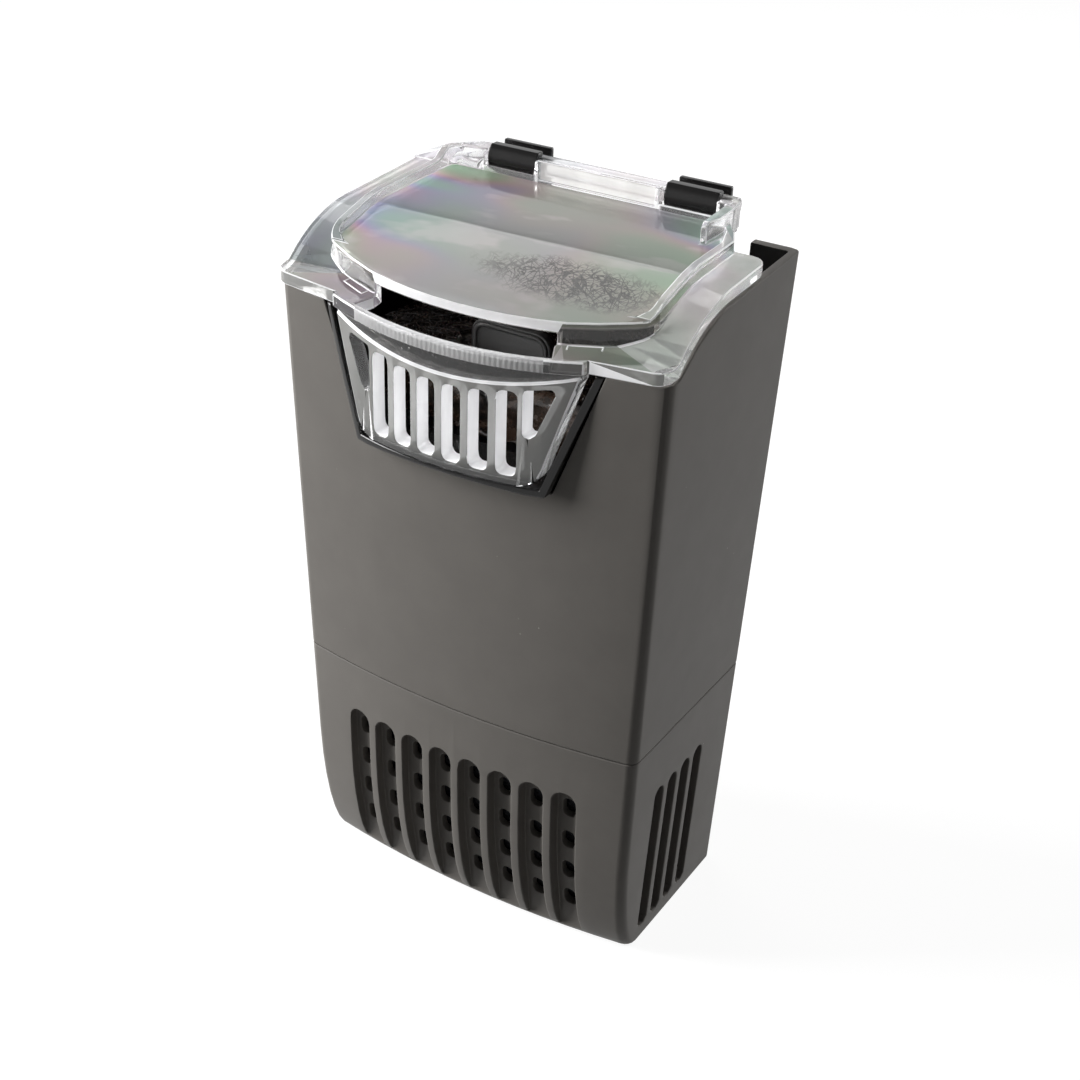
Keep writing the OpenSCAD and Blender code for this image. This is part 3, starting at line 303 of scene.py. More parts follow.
def buildPlasticGroup(setup):
    # moulded plastic: cloudy tone, sparse pale specks and fine grain
    group, given, out = newGroup(
        "mouldedPlastic",
        {"Vector": "Vector", "Colour": "Color", "Grain Size": "Float", "Grain Depth": "Float",
         "Cloud": "Float", "Roughness": "Float", "Roughness Spread": "Float", "Dust": "Float"},
        {"Colour": "Color", "Roughness": "Float", "Normal": "Vector"},
    )
    vector = given["Vector"]
    darker = mathNode(group, "SUBTRACT", 1.0, given["Cloud"])
    lighter = mathNode(group, "ADD", 1.0, given["Cloud"])
    cloud = noiseNode(group, vector, **setup["cloud"])
    tone = rangeNode(group, cloud, *setup["cloudRange"], darker, lighter)
    toned = vectorMath(group, "SCALE", given["Colour"], tone)
    dot = rangeNode(group, cellNode(group, vector, setup["speckScale"]), *setup["speckEdge"])
    some = mathNode(group, "MULTIPLY", dot, noiseNode(group, vector, **setup["speckPatch"]))
    speck = mathNode(group, "MULTIPLY", some, given["Dust"], clamp=True)
    sheen = mathNode(group, "SUBTRACT", noiseNode(group, vector, **setup["sheen"]), 0.5)
    rough = mathNode(group, "MULTIPLY_ADD", sheen, given["Roughness Spread"], given["Roughness"])
    grain = noiseNode(group, vector, given["Grain Size"], **setup["grain"])
    feed(group, out, {
        "Colour": mixColour(group, speck, toned, setup["speckColour"]),
        "Roughness": rough,
        "Normal": bumpNode(group, grain, given["Grain Depth"]),
    })
    return group


def buildEdgeGroup(setup):
    # 1 on rounded edges, 0 on flats, from normals blurred over a small radius and broken into
    # patches; plastics lighten their edges by it, as wear and as a painted edge highlight
    inputs = {"Vector": "Vector", "Amount": "Float"}
    group, given, out = newGroup("edgeWearShineMask", inputs, {"Mask": "Float"})
    soft = newNode(group, "Bevel", {"Radius": setup["radius"]})
    soft.samples = setup["samples"]
    plain = newNode(group, "NewGeometry").outputs["Normal"]
    alike = vectorMath(group, "DOT_PRODUCT", soft.outputs[0], plain)
    edge = rangeNode(group, alike, *setup["alike"])
    patchy = mathNode(group, "MULTIPLY", edge, noiseNode(group, given["Vector"], **setup["patch"]))
    feed(group, out, {"Mask": mathNode(group, "MULTIPLY", patchy, given["Amount"], clamp=True)})
    return group


plasticGroup = buildPlasticGroup(plasticSetup)
edgeGroup = buildEdgeGroup(edgeSetup)
print("shader groups ready")

# plastics


def newMaterial(name):
    material = bpy.data.materials.new(name)
    material.use_nodes = True
    tree = material.node_tree
    place = newNode(tree, "TexCoord").outputs["Object"]
    return material, tree, tree.nodes["Principled BSDF"], place


def groupNode(tree, group, vector, values):
    node = tree.nodes.new("ShaderNodeGroup")
    node.node_tree = group
    feed(tree, node, {"Vector": vector, **values})
    return node.outputs


def plasticMaterial(setup):
    material, tree, shader, place = newMaterial(setup["name"])
    skin = groupNode(tree, plasticGroup, place, setup["surface"])
    colour = skin["Colour"]
    # edge wear and painted edge highlight: rounded edges lighten towards the given colour
    if "edgeWearShine" in setup:
        edge = groupNode(tree, edgeGroup, place, {"Amount": setup["edgeWearShine"]})
        colour = mixColour(tree, edge["Mask"], colour, setup["edgeWearShineColour"])
    feed(tree, shader, {"Base Color": colour, "Roughness": skin["Roughness"],
                        "Normal": skin["Normal"], "Specular IOR Level": setup["specular"]})
    return material


finishes = {
    "housing": {
        "name": "charcoalSatin", "specular": 0.1, "edgeWearShine": 0.3, "edgeWearShineColour": (0.26, 0.25, 0.235, 1),
        "surface": {"Colour": (0.150, 0.141, 0.130, 1), "Grain Size": 2600.0,
                    "Grain Depth": 0.000004, "Cloud": 0.05, "Roughness": 0.42,
                    "Roughness Spread": 0.08, "Dust": 0.5},
    },
    # near-black, glossier copy of the housing plastic for its inner walls: painted shade where the
    # inside lies in shade
    "inner": {
        "name": "paintedShadeInside", "specular": 0.2,
        "surface": {"Colour": (0.009, 0.0086, 0.0082, 1), "Grain Size": 1200.0,
                    "Grain Depth": 0.000001, "Cloud": 0.1, "Roughness": 0.2,
                    "Roughness Spread": 0.1, "Dust": 0.2},
    },
    "gloss_black": {
        "name": "polishedBlack", "specular": 0.3, "edgeWearShine": 0.2, "edgeWearShineColour": (0.08, 0.08, 0.08, 1),
        "surface": {"Colour": (0.010, 0.0095, 0.0095, 1), "Grain Size": 900.0,
                    "Grain Depth": 0.000002, "Cloud": 0.1, "Roughness": 0.14,
                    "Roughness Spread": 0.1, "Dust": 0.25},
    },
    "pump_black": {
        "name": "pumpBlack", "specular": 0.5, "edgeWearShine": 0.2, "edgeWearShineColour": (0.1, 0.1, 0.1, 1),
        "surface": {"Colour": (0.02, 0.02, 0.021, 1), "Grain Size": 2600.0,
                    "Grain Depth": 0.00002, "Cloud": 0.1, "Roughness": 0.45,
                    "Roughness Spread": 0.1, "Dust": 0.1},
    },
    "basket": {
        "name": "basketGrey", "specular": 0.5, "edgeWearShine": 0.3, "edgeWearShineColour": (0.14, 0.14, 0.14, 1),
        "surface": {"Colour": (0.034, 0.033, 0.032, 1), "Grain Size": 2200.0,
                    "Grain Depth": 0.0000015, "Cloud": 0.08, "Roughness": 0.33,
                    "Roughness Spread": 0.1, "Dust": 0.1},
    },
    "white": {
        "name": "whiteAcetal", "specular": 0.5,
        "surface": {"Colour": (0.78, 0.77, 0.73, 1), "Grain Size": 2600.0,
                    "Grain Depth": 0.000005, "Cloud": 0.03, "Roughness": 0.35,
                    "Roughness Spread": 0.06, "Dust": 0.0},
    },
    "dial": {
        "name": "dialGrey", "specular": 0.5, "edgeWearShine": 0.3, "edgeWearShineColour": (0.3, 0.3, 0.31, 1),
        "surface": {"Colour": (0.15, 0.155, 0.165, 1), "Grain Size": 2400.0,
                    "Grain Depth": 0.00001, "Cloud": 0.06, "Roughness": 0.35,
                    "Roughness Spread": 0.08, "Dust": 0.1},
    },
    "rubber": {
        "name": "softRubber", "specular": 0.35,
        "surface": {"Colour": (0.02, 0.02, 0.02, 1), "Grain Size": 1800.0,
                    "Grain Depth": 0.00003, "Cloud": 0.12, "Roughness": 0.62,
                    "Roughness Spread": 0.12, "Dust": 0.3},
    },
    "ferrite": {
        "name": "ferrite", "specular": 0.5,
        "surface": {"Colour": (0.05, 0.05, 0.054, 1), "Grain Size": 3000.0,
                    "Grain Depth": 0.00003, "Cloud": 0.12, "Roughness": 0.5,
                    "Roughness Spread": 0.1, "Dust": 0.0},
    },
}
materials = {slot: plasticMaterial(setup) for slot, setup in finishes.items()}

# metals and media: each look names its patterns, and then the one that its tone, roughness
# and relief follow; a tone has the pattern's range and two colours, where None is the tone so far

mediaLooks = {
    "steel": {
        "name": "laminatedSteel",
        "patterns": {"sheets": (waveNode, {"scale": 320.0, "axis": "X"}),
                     "cloud": (noiseNode, {"scale": 300.0})},
        "tones": [("sheets", (0.1, 0.4), (0.1, 0.1, 0.11, 1), (0.42, 0.43, 0.45, 1))],
        "roughness": ("cloud", (0.3, 0.7, 0.3, 0.5)),
        "relief": ("sheets", 0.00005),
        "fixed": {"Metallic": 1.0},
    },
    "copper": {
        "name": "copperWinding",
        "patterns": {"turns": (waveNode, {"scale": 420.0, "axis": "Z", "distortion": 0.4}),
                     "cloud": (noiseNode, {"scale": 500.0})},
        "tones": [("turns", None, (0.2, 0.07, 0.03, 1), (0.62, 0.27, 0.12, 1))],
        "roughness": ("cloud", (0.3, 0.7, 0.22, 0.4)),
        "relief": ("turns", 0.0001),
        "fixed": {"Metallic": 1.0},
    },
    "foam": {
        "name": "openFoam",
        "patterns": {"pores": (cellNode, {"scale": 900.0})},
        "tones": [("pores", (0.2, 0.55), (0.004, 0.004, 0.005, 1), (0.035, 0.036, 0.042, 1))],
        "roughness": ("pores", (0.0, 0.6, 0.95, 0.75)),
        "relief": ("pores", 0.0005),
        "fixed": {"Specular IOR Level": 0.2},
    },
    "carbon": {
        "name": "carbonGranules",
        "patterns": {"grains": (cellNode, {"scale": 500.0}),
                     "cloud": (noiseNode, {"scale": 700.0})},
        "tones": [("grains", (0.1, 0.7), (0.03, 0.03, 0.031, 1), (0.003, 0.003, 0.003, 1))],
        "roughness": ("cloud", (0.3, 0.7, 0.3, 0.6)),
        "relief": ("grains", 0.001),
        "raised": True,  # the middles of the cells stand out
        "fixed": {},
    },
    "ceramic": {
        "name": "porousCeramic",
        "patterns": {"pores": (cellNode, {"scale": 1500.0}),
                     "cloud": (noiseNode, {"scale": 140.0, "detail": 4.0})},
        "tones": [("cloud", (0.3, 0.7), (0.55, 0.45, 0.33, 1), (0.74, 0.66, 0.54, 1)),
                  ("pores", (0.25, 0.1), None, (0.3, 0.22, 0.15, 1))],
        "roughness": ("cloud", (0.3, 0.7, 0.8, 0.95)),
        "relief": ("pores", 0.0001),
        "fixed": {},
    },
    "cup": {
        "name": "softVinyl",
        "patterns": {"cloud": (noiseNode, {"scale": 120.0}),
                     "skin": (noiseNode, {"scale": 900.0, "detail": 2.0})},
        "tones": [("cloud", (0.3, 0.7), (0.72, 0.78, 0.8, 1), (0.84, 0.88, 0.88, 1))],
        "roughness": ("cloud", (0.3, 0.7, 0.14, 0.24)),
        "relief": ("skin", 0.00004),
        "fixed": {"Transmission Weight": 0.6, "IOR": 1.5},
    },
    "fibre": {
        "name": "blackFibre",
        "patterns": {"cloud": (noiseNode, {"scale": 260.0}),
                     "skin": (noiseNode, {"scale": 1500.0, "detail": 2.0})},
        "tones": [("cloud", (0.35, 0.7), (0.004, 0.003, 0.0025, 1), (0.06, 0.036, 0.024, 1))],
        "roughness": ("cloud", (0.3, 0.7, 0.16, 0.32)),
        "relief": ("skin", 0.00002),
        "fixed": {"Specular IOR Level": 0.7},
    },
}


def mediaMaterial(setup):
    material, tree, shader, place = newMaterial(setup["name"])
    fields = {label: make(tree, place, **values)
              for label, (make, values) in setup["patterns"].items()}
    tone = None
    for label, limits, first, second in setup["tones"]:
        factor = rangeNode(tree, fields[label], *limits) if limits else fields[label]
        tone = mixColour(tree, factor, first or tone, second)
    label, limits = setup["roughness"]
    rough = rangeNode(tree, fields[label], *limits)
    label, distance = setup["relief"]
    bump = bumpNode(tree, fields[label], distance, invert=setup.get("raised", False))
    feed(tree, shader, {"Base Color": tone, "Roughness": rough, "Normal": bump, **setup["fixed"]})
    return material


for slot, setup in mediaLooks.items():
    materials[slot] = mediaMaterial(setup)

# clear plastic

clearLook = {
    "ior": 1.49,
    "passed": (0.62, 0.62, 0.62, 1),  # lamp light that goes through each skin
    "streak": {"scale": 150.0, "stretch": (1, 1, 0.35), "spread": (0.35, 0.65)},
    "streakShade": 0.88,
    "scratch": {"scale": 60.0, "detail": 4.0, "rough": 0.7, "stretch": (14, 1, 1),
                "turn": (0, 0, 0.5), "spread": (0.52, 0.72, 0.021, 0.078)},  # to two roughnesses
    "ripple": {"scale": 70.0, "detail": 2.0},
    "rippleDepth": 0.00012,
    "rippleStrength": 0.5,
    # how much light each zone lets through, and its colour
    "zones": {
        "band": (0.62, (0.95, 0.945, 0.945, 1)),
        "panel": (0.50, (0.49, 0.485, 0.45, 1)),
        "face": (0.42, (0.33, 0.33, 0.315, 1)),
        "wall": (0.93, (0.95, 0.95, 0.955, 1)),
        # slot and bar: near white with little light through, a painted highlight for the bright
        # edges of the clear plastic
        "slot": (0.15, (0.95, 0.95, 0.955, 1)),
        "bar": (0.62, (0.84, 0.84, 0.845, 1)),
        # fascia: a dark tint that paints the shade of the dark spout behind the clear strip
        "fascia": (1.0, (0.07, 0.07, 0.07, 1)),
        "skirt": (1.0, (0.12, 0.11, 0.10, 1)),
        # bead and lip: near white, a painted highlight along the edges of the clear plastic
        "bead": (0.3, (0.95, 0.95, 0.96, 1)),
        "lip": (0.45, (0.90, 0.89, 0.87, 1)),
    },
    "glow": {"slot": 0.2, "bead": 0.14, "lip": 0.05},  # painted glow: emission on these zones stands in for light the plate pipes to its edges
    "paintedGlowColour": (0.97, 0.97, 1, 1),
    "dull": {"fascia": 0.08, "skirt": 0.08, "panel": 0.3},  # specular levels under the usual 0.5
    "rainbowSheen": [  # painted reflection: the soft rainbow sheen of strained plastic, put into the colour
        (0.36, (0.25, 0.50, 0.29, 1)),
        (0.44, (0.50, 0.50, 0.36, 1)),
        (0.50, (0.66, 0.36, 0.44, 1)),
        (0.56, (0.33, 0.31, 0.64, 1)),
        (0.64, (0.27, 0.50, 0.37, 1)),
    ],
}
clearZones = list(clearLook["zones"])
panelLook = {
    "waves": {"scale": 24.0, "detail": 1.5, "rough": 0.45, "stretch": (0.8, 1.5, 1.0),
              "turn": (0, 0, 0.35)},
    "sheenAcross": (0.008, 0.044, 0.15, 1.0),  # from the middle to both ends
    "sheenRight": (-0.01, 0.03, 1.0, 0.6),
    "hazeHighlight": {"scale": 30.0, "rough": 0.6, "stretch": (1, 2.2, 1), "turn": (0, 0, -0.4),
             "spread": (0.56, 0.64, 0.0, 0.4)},
    "hazeHighlightColour": (0.82, 0.74, 0.75, 1),
    "strandScales": (120.0, 140.0, 160.0, 180.0, 200.0),  # one layer of strand marks each
    "strandTurn": 0.5,
    "layerTurn": 0.75,
    "strandField": {"detail": 1.0, "rough": 0.3, "stretch": (1, 3.4, 0.2)},
    "strandEdge": (0.032, 0.012),
    "strandColour": (0.012, 0.009, 0.007, 1),
    "strandCover": 0.96,
    "tuftScale": (45.0, 142.0, 0),  # one over the tuft's half widths
    "tuftMiddle": (1.0, -2.5, 0),  # in these half widths
    "tuftRagged": {"scale": 130.0, "rough": 0.7},
    "tuftRaggedness": 1.1,
    "tuftEdge": (1.85, 1.25),
    "shade": 0.5,
    "shadeColour": (0.42, 0.37, 0.34, 1),
    "shadeBehindCrease": (0.012, -0.0045),
    "crease": (-0.0055, -0.0045),
    "shadeAlongFront": (-0.012, -0.034),
    "paintedShadeShare": 0.55,
    "paintedShadeColour": (0.25, 0.26, 0.25, 1),
}
bandLook = {
    "slant": 0.8,
    "cloud": {"scale": 30.0, "detail": 2.0, "stretch": (1, 1, 0.5)},
    "cloudReach": 0.02,
    "hazeRange": (-0.056, -0.018),
    "clearColour": (0.36, 0.355, 0.37, 1),
    "sheenShare": 0.22,
}
faceLook = {
    "lowRange": (0.172, 0.148),
    "patch": {"scale": 85.0, "detail": 2.0, "stretch": (1, 1, 0.3), "spread": (0.3, 0.7, 0.5, 1.2)},
    "lowColour": (0.20, 0.205, 0.195, 1),
    "rimRange": (0.1532, 0.1502),
    "rimShare": 0.9,
    "rimColour": (0.03, 0.03, 0.03, 1),
}
barLook = {"ribScale": 230.0, "ribDistortion": 1.5}
fasciaLook = {
    "dropScale": 700.0,
    "dropEdge": (0.3, 0.05),
    "patch": {"scale": 240.0, "detail": 2.0, "spread": (0.52, 0.62)},
    "dropHeight": 3.0,
}


def sheenRamp(tree, factor, stops):
    ramp = newNode(tree, "ValToRGB", {"Fac": factor})
    elements = ramp.color_ramp.elements
    ramp.color_ramp.interpolation = "B_SPLINE"
    while len(elements) < len(stops):
        elements.new(0.5)
    for element, (position, colour) in zip(elements, stops):
        element.position = position
        element.color = colour
    return ramp.outputs["Color"]


def panelTone(tree, place, look):
    # olive grey in the middle, pastel bands of painted rainbow sheen towards both ends, milky
    # patches that are partly a painted highlight, and painted shade behind the crease and along the
    # front
    along = axisOf(tree, place, "X")
    across = mathNode(tree, "ABSOLUTE", along)
    waves = noiseNode(tree, place, **look["waves"])
    strength = mathNode(tree, "MULTIPLY", rangeNode(tree, across, *look["sheenAcross"]),
                        rangeNode(tree, along, *look["sheenRight"]))
    base = clearLook["zones"]["panel"][1]
    # painted reflection: pastel sheen bands towards both ends
    tone = mixColour(tree, strength, base, sheenRamp(tree, waves, clearLook["rainbowSheen"]))
    # milky haze patches, partly a painted pink highlight
    tone = mixColour(tree, noiseNode(tree, place, **look["hazeHighlight"]), tone, look["hazeHighlightColour"])
    touch, patch = strandMarks(tree, place, look)
    shade = mathNode(tree, "MULTIPLY", patch, look["shade"], clamp=True)
    tone = mixColour(tree, shade, tone, look["shadeColour"])
    marks = mathNode(tree, "MULTIPLY", touch, look["strandCover"])
    tone = mixColour(tree, marks, tone, look["strandColour"])
    # painted shade: darker behind the crease and along the front bead
    depth = axisOf(tree, place, "Y")
    behind = mathNode(tree, "MULTIPLY", rangeNode(tree, depth, *look["shadeBehindCrease"]),
                      rangeNode(tree, depth, *look["crease"]), clamp=True)
    front = rangeNode(tree, depth, *look["shadeAlongFront"])
    paintedShade = mathNode(tree, "MAXIMUM", behind, front, clamp=True)
    paintedShade = mathNode(tree, "MULTIPLY", paintedShade, look["paintedShadeShare"])
    return mixColour(tree, paintedShade, tone, look["paintedShadeColour"])


def strandMarks(tree, place, look):
    # thin curls where strands of the fibre touch the underside, and the patch that holds them
    touch = 0.0
    for k, scale in enumerate(look["strandScales"]):
        turn = look["strandTurn"] + look["layerTurn"] * k
        turned = stretched(tree, place, (1, 1, 1), (0, 0, turn))
        field = noiseNode(tree, turned, scale, **look["strandField"])
        curl = mathNode(tree, "ABSOLUTE", mathNode(tree, "SUBTRACT", field, 0.5))
        layer = rangeNode(tree, curl, *look["strandEdge"])
        touch = mathNode(tree, "MAXIMUM", layer, touch, clamp=True)
    scaled = stretched(tree, place, look["tuftScale"])
    away = vectorMath(tree, "DISTANCE", scaled, look["tuftMiddle"])
    ragged = noiseNode(tree, place, **look["tuftRagged"])
    reach = mathNode(tree, "MULTIPLY_ADD", ragged, look["tuftRaggedness"], away)
    patch = rangeNode(tree, reach, *look["tuftEdge"])
    return mathNode(tree, "MULTIPLY", touch, patch, clamp=True), patch


def bandTone(tree, place, tone, look):
    # hazier to the right and the rear, with a share of painted rainbow sheen
    cloud = noiseNode(tree, place, **look["cloud"])
    along = mathNode(tree, "MULTIPLY_ADD", axisOf(tree, place, "X"), look["slant"],
                     axisOf(tree, place, "Y"))
    along = mathNode(tree, "MULTIPLY_ADD", cloud, look["cloudReach"], along)
    tone = mixColour(tree, rangeNode(tree, along, *look["hazeRange"]), look["clearColour"], tone)
    return mixColour(tree, look["sheenShare"], tone, sheenRamp(tree, cloud, clearLook["rainbowSheen"]))


def faceTone(tree, place, tone, look):
    # greyer in patches towards the bottom, and nearly black along the bottom rim
    height = axisOf(tree, place, "Z")
    low = mathNode(tree, "MULTIPLY", rangeNode(tree, height, *look["lowRange"]),
                   noiseNode(tree, place, **look["patch"]), clamp=True)
    tone = mixColour(tree, low, tone, look["lowColour"])
    rim = rangeNode(tree, height, *look["rimRange"])
    rim = mathNode(tree, "MULTIPLY", rim, look["rimShare"], clamp=True)
    return mixColour(tree, rim, tone, look["rimColour"])


def clearTone(tree, place, part):
    base = clearLook["zones"][part][1]
    if part == "panel":
        return panelTone(tree, place, panelLook)
    shaded = tuple(clearLook["streakShade"] * c for c in base[:3]) + (1,)
    tone = mixColour(tree, noiseNode(tree, place, **clearLook["streak"]), base, shaded)
    if part == "band":
        return bandTone(tree, place, tone, bandLook)
    if part == "face":
        return faceTone(tree, place, tone, faceLook)
    return tone


def clearHeight(tree, place, part):
    # faint ripples, with fine upright ribs on the bar and drops left on the fascia
    height = noiseNode(tree, place, **clearLook["ripple"])
    if part == "bar":
        ribs = waveNode(tree, place, barLook["ribScale"], "X", barLook["ribDistortion"])
        height = mathNode(tree, "ADD", height, ribs)
    if part == "fascia":
        drops = cellNode(tree, place, fasciaLook["dropScale"])
        drop = mathNode(tree, "MULTIPLY", rangeNode(tree, drops, *fasciaLook["dropEdge"]),
                        noiseNode(tree, place, **fasciaLook["patch"]))
        height = mathNode(tree, "MULTIPLY_ADD", drop, fasciaLook["dropHeight"], height)
    return height


def clearMaterial(part, look):
    # moulded clear plastic, with fine scratches in its gloss
    material, tree, shader, place = newMaterial("clear" + part.capitalize())
    height = clearHeight(tree, place, part)
    feed(tree, shader, {
        "Base Color": clearTone(tree, place, part),
        "Roughness": noiseNode(tree, place, **look["scratch"]),
        "Normal": bumpNode(tree, height, look["rippleDepth"], look["rippleStrength"]),
        "IOR": look["ior"],
        "Transmission Weight": look["zones"][part][0],
    })
    # painted glow: the clear edges give off light, though they are no lamp
    if part in look["glow"]:
        feed(tree, shader, {"Emission Color": look["paintedGlowColour"],
                            "Emission Strength": look["glow"][part]})
    if part in look["dull"]:
        feed(tree, shader, {"Specular IOR Level": look["dull"][part]})
    # lamps shine through the plastic on what is under it
    shadow = newNode(tree, "LightPath").outputs["Is Shadow Ray"]
    passed = newNode(tree, "BsdfTransparent", {"Color": look["passed"]})
    both = mixShader(tree, shadow, shader.outputs[0], passed.outputs[0])
    feed(tree, tree.nodes["Material Output"], {"Surface": both})
    return material


clearMaterials = [clearMaterial(zone, clearLook) for zone in clearZones]
materials["clear"] = clearMaterials[0]
print("materials ready:", len(materials), "and", len(clearZones), "of clear plastic")

# pieces from the frame, with rounded edges


def bodyOf(node):
    for body, nodes in frame["record"]["behaviour"]["bodies"].items():
        if node in nodes:
            return body


def slotOf(node):
    for part in frame["record"]["subparts"]:
        if part["node"] == node:
            return part["material_slot"]


edgeRules = {
    "merge": 2e-6,  # corners nearer than this are one
    "flat": 0.4,  # degrees that two faces of one flat may turn
    "tiny": 1e-5,  # edges shorter than this close up
    "segments": 2,
    "stray": 0.75,  # of the rounding: a corner farther out than this is a stray
    "rejoin": 1e-6,
    "ahead": 0.001,  # a step off a rounded face
    "hollow": 0.00088,  # the skin is nearer than this after that step where the edge is hollow
    "crease": 38,
    "evenness": 60,
}


def roundedCopy(node, setup, rules):
    # a merged copy of the node's mesh with its sharp edges rounded
    bm = bmesh.new()
    bm.from_mesh(frame["nodes"][node].data)
    bmesh.ops.remove_doubles(bm, verts=bm.verts, dist=rules["merge"])
    bmesh.ops.dissolve_limit(bm, angle_limit=math.radians(rules["flat"]),
                             verts=bm.verts, edges=bm.edges)
    bmesh.ops.triangulate(bm, faces=bm.faces, quad_method="BEAUTY", ngon_method="BEAUTY")
    bmesh.ops.dissolve_degenerate(bm, dist=rules["tiny"], edges=bm.edges)
    rounded = bm.faces.layers.int.new("rounded")
    skin = BVHTree.FromBMesh(bm)
    limit = math.radians(setup["sharp"])
    sharp = [e for e in bm.edges if e.is_manifold and e.calc_face_angle() > limit]
    if "keepSharp" in setup:  # corners too tight for a rounding
        low, high = setup["keepSharp"]
        sharp = [e for e in sharp
                 if not any(all(low[k] < v.co[k] < high[k] for k in range(3)) for v in e.verts)]
    made = bmesh.ops.bevel(bm, geom=sharp, offset=setup["round"], offset_type="OFFSET",
                           segments=setup.get("segments", rules["segments"]), profile=0.5,
                           affect="EDGES", clamp_overlap=False, material=-1, loop_slide=True)
    for face in made["faces"]:
        face[rounded] = 1
    strays = 0
    for vert in bm.verts:  # a corner that the bevel threw off goes back on the skin
        near, distance = skin.find_nearest(vert.co)[::3]
        if distance > setup["round"] * rules["stray"]:
            vert.co = near
            strays += 1
    bmesh.ops.remove_doubles(bm, verts=bm.verts, dist=rules["rejoin"])
    bmesh.ops.dissolve_degenerate(bm, dist=rules["tiny"], edges=bm.edges)
    bm.normal_update()
    for face in bm.faces:
        face.smooth = True
        if face[rounded]:  # 1 on an outer edge, 2 in a hollow one
            ahead = face.calc_center_median() + face.normal * rules["ahead"]
            face[rounded] = 1 if skin.find_nearest(ahead)[3] > rules["hollow"] else 2
    mesh = meshFrom(bm, setup["name"])
    mesh.set_sharp_from_angle(angle=math.radians(rules["crease"]))
    mesh.materials.append(materials[slotOf(node)])
    piece = newObject(setup["name"], mesh)
    weights = piece.modifiers.new("evenNormals", "WEIGHTED_NORMAL")
    weights.keep_sharp = True
    weights.weight = rules["evenness"]
    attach(piece, bodyOf(node))
    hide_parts(node)
    print("piece", setup["name"], len(mesh.polygons), "faces,", strays, "corners set back")
    return piece


rounding = {
    "strainer_base": {"name": "strainerBase", "sharp": 32, "round": 0.0003},
    "upper_housing": {"name": "upperHousing", "sharp": 32, "round": 0.00035},
    "outlet_spout": {"name": "outletSpout", "sharp": 32, "round": 0.0004},
    "hinge_clip_left": {"name": "hingeClipLeft", "sharp": 32, "round": 0.0004, "segments": 3},
    "hinge_clip_right": {"name": "hingeClipRight", "sharp": 32, "round": 0.0004, "segments": 3},
    "media_basket": {"name": "mediaBasket", "sharp": 32, "round": 0.0004},
    "top_cover": {"name": "clearTop", "sharp": 35, "round": 0.00035,
                  "keepSharp": ((-0.040, 0.029, 0.1985), (-0.030, 0.045, 0.21))},
}
pieces = {node: roundedCopy(node, setup, edgeRules) for node, setup in rounding.items()}


def paintFaces(piece, extra, rule):
    # gives each face the material whose number rule(centre, normal, rounded) returns
    for material in extra:
        piece.data.materials.append(material)
    rounded = piece.data.attributes["rounded"].data
    for face in piece.data.polygons:
        face.material_index = rule(face.center, face.normal, rounded[face.index].value)


innerFaces = {"level": 0.7, "sideShare": 0.35, "inwards": -0.002}


def innerWall(centre, normal, rounded):
    # 1 on upright faces that look to the housing's middle; these take the near-black copy of the
    # housing plastic, painted shade for the dark inside
    inwards = normal.x * centre.x * innerFaces["sideShare"] + normal.y * centre.y
    return 1 if abs(normal.z) < innerFaces["level"] and inwards < innerFaces["inwards"] else 0


paintFaces(pieces["upper_housing"], [materials["inner"]], innerWall)

coverPlan = {
    "bowRadius": 0.098,
    "outline": (0.0262, 0.0368, 0.1493, 0.1832),  # half width low and high, and their heights
    "grilleBack": -0.0383,
    "grilleFoot": 0.1493,
    "faceTop": 0.1745,  # the grille's face ends here in the middle
    "faceRise": 4.2,  # and rises by this times x squared
    "slotFoot": 0.0015,
    "slotWall": 0.0022,
    "clearSlots": -0.0225,  # walls left of this carry no light
    "rimFoot": 0.003,
    "fasciaFront": -0.0428,
    "fasciaTop": 0.188,
    "frontEdge": -0.0425,
    "barFront": -0.0420,
    "barTop": 0.19,
    "openingHalf": 0.0265,
    "openingWall": 0.0022,
    "windowHalf": 0.0482,
    "windowFront": -0.036,
    "windowBack": 0.032,
    "windowWall": 0.0024,
    "lipHalf": 0.0179,
    "lipDepth": (0.0285, 0.0325),
    "lipFoot": 0.1998,
    "footMiddle": -0.0325,  # where the window's front wall stands beside the opening
    "footSlope": 0.37,
    "frontWall": -0.030,
    "skirtFoot": 0.1845,
    "skirtBack": -0.015,
    "skirtHalf": 0.049,
    "edgeTop": 0.187,
    "edgeHalf": 0.0405,
    "slack": 0.0006,
    "faceSlack": 0.0003,
    "fasciaSlack": 0.0005,
    "margin": 0.001,
}
# how much of a face's normal has to lie along an axis
facing = {"fully": 0.9, "squarely": 0.8, "mostly": 0.75, "upright": 0.55, "partly": 0.5,
          "slightly": 0.3, "barely": 0.05}


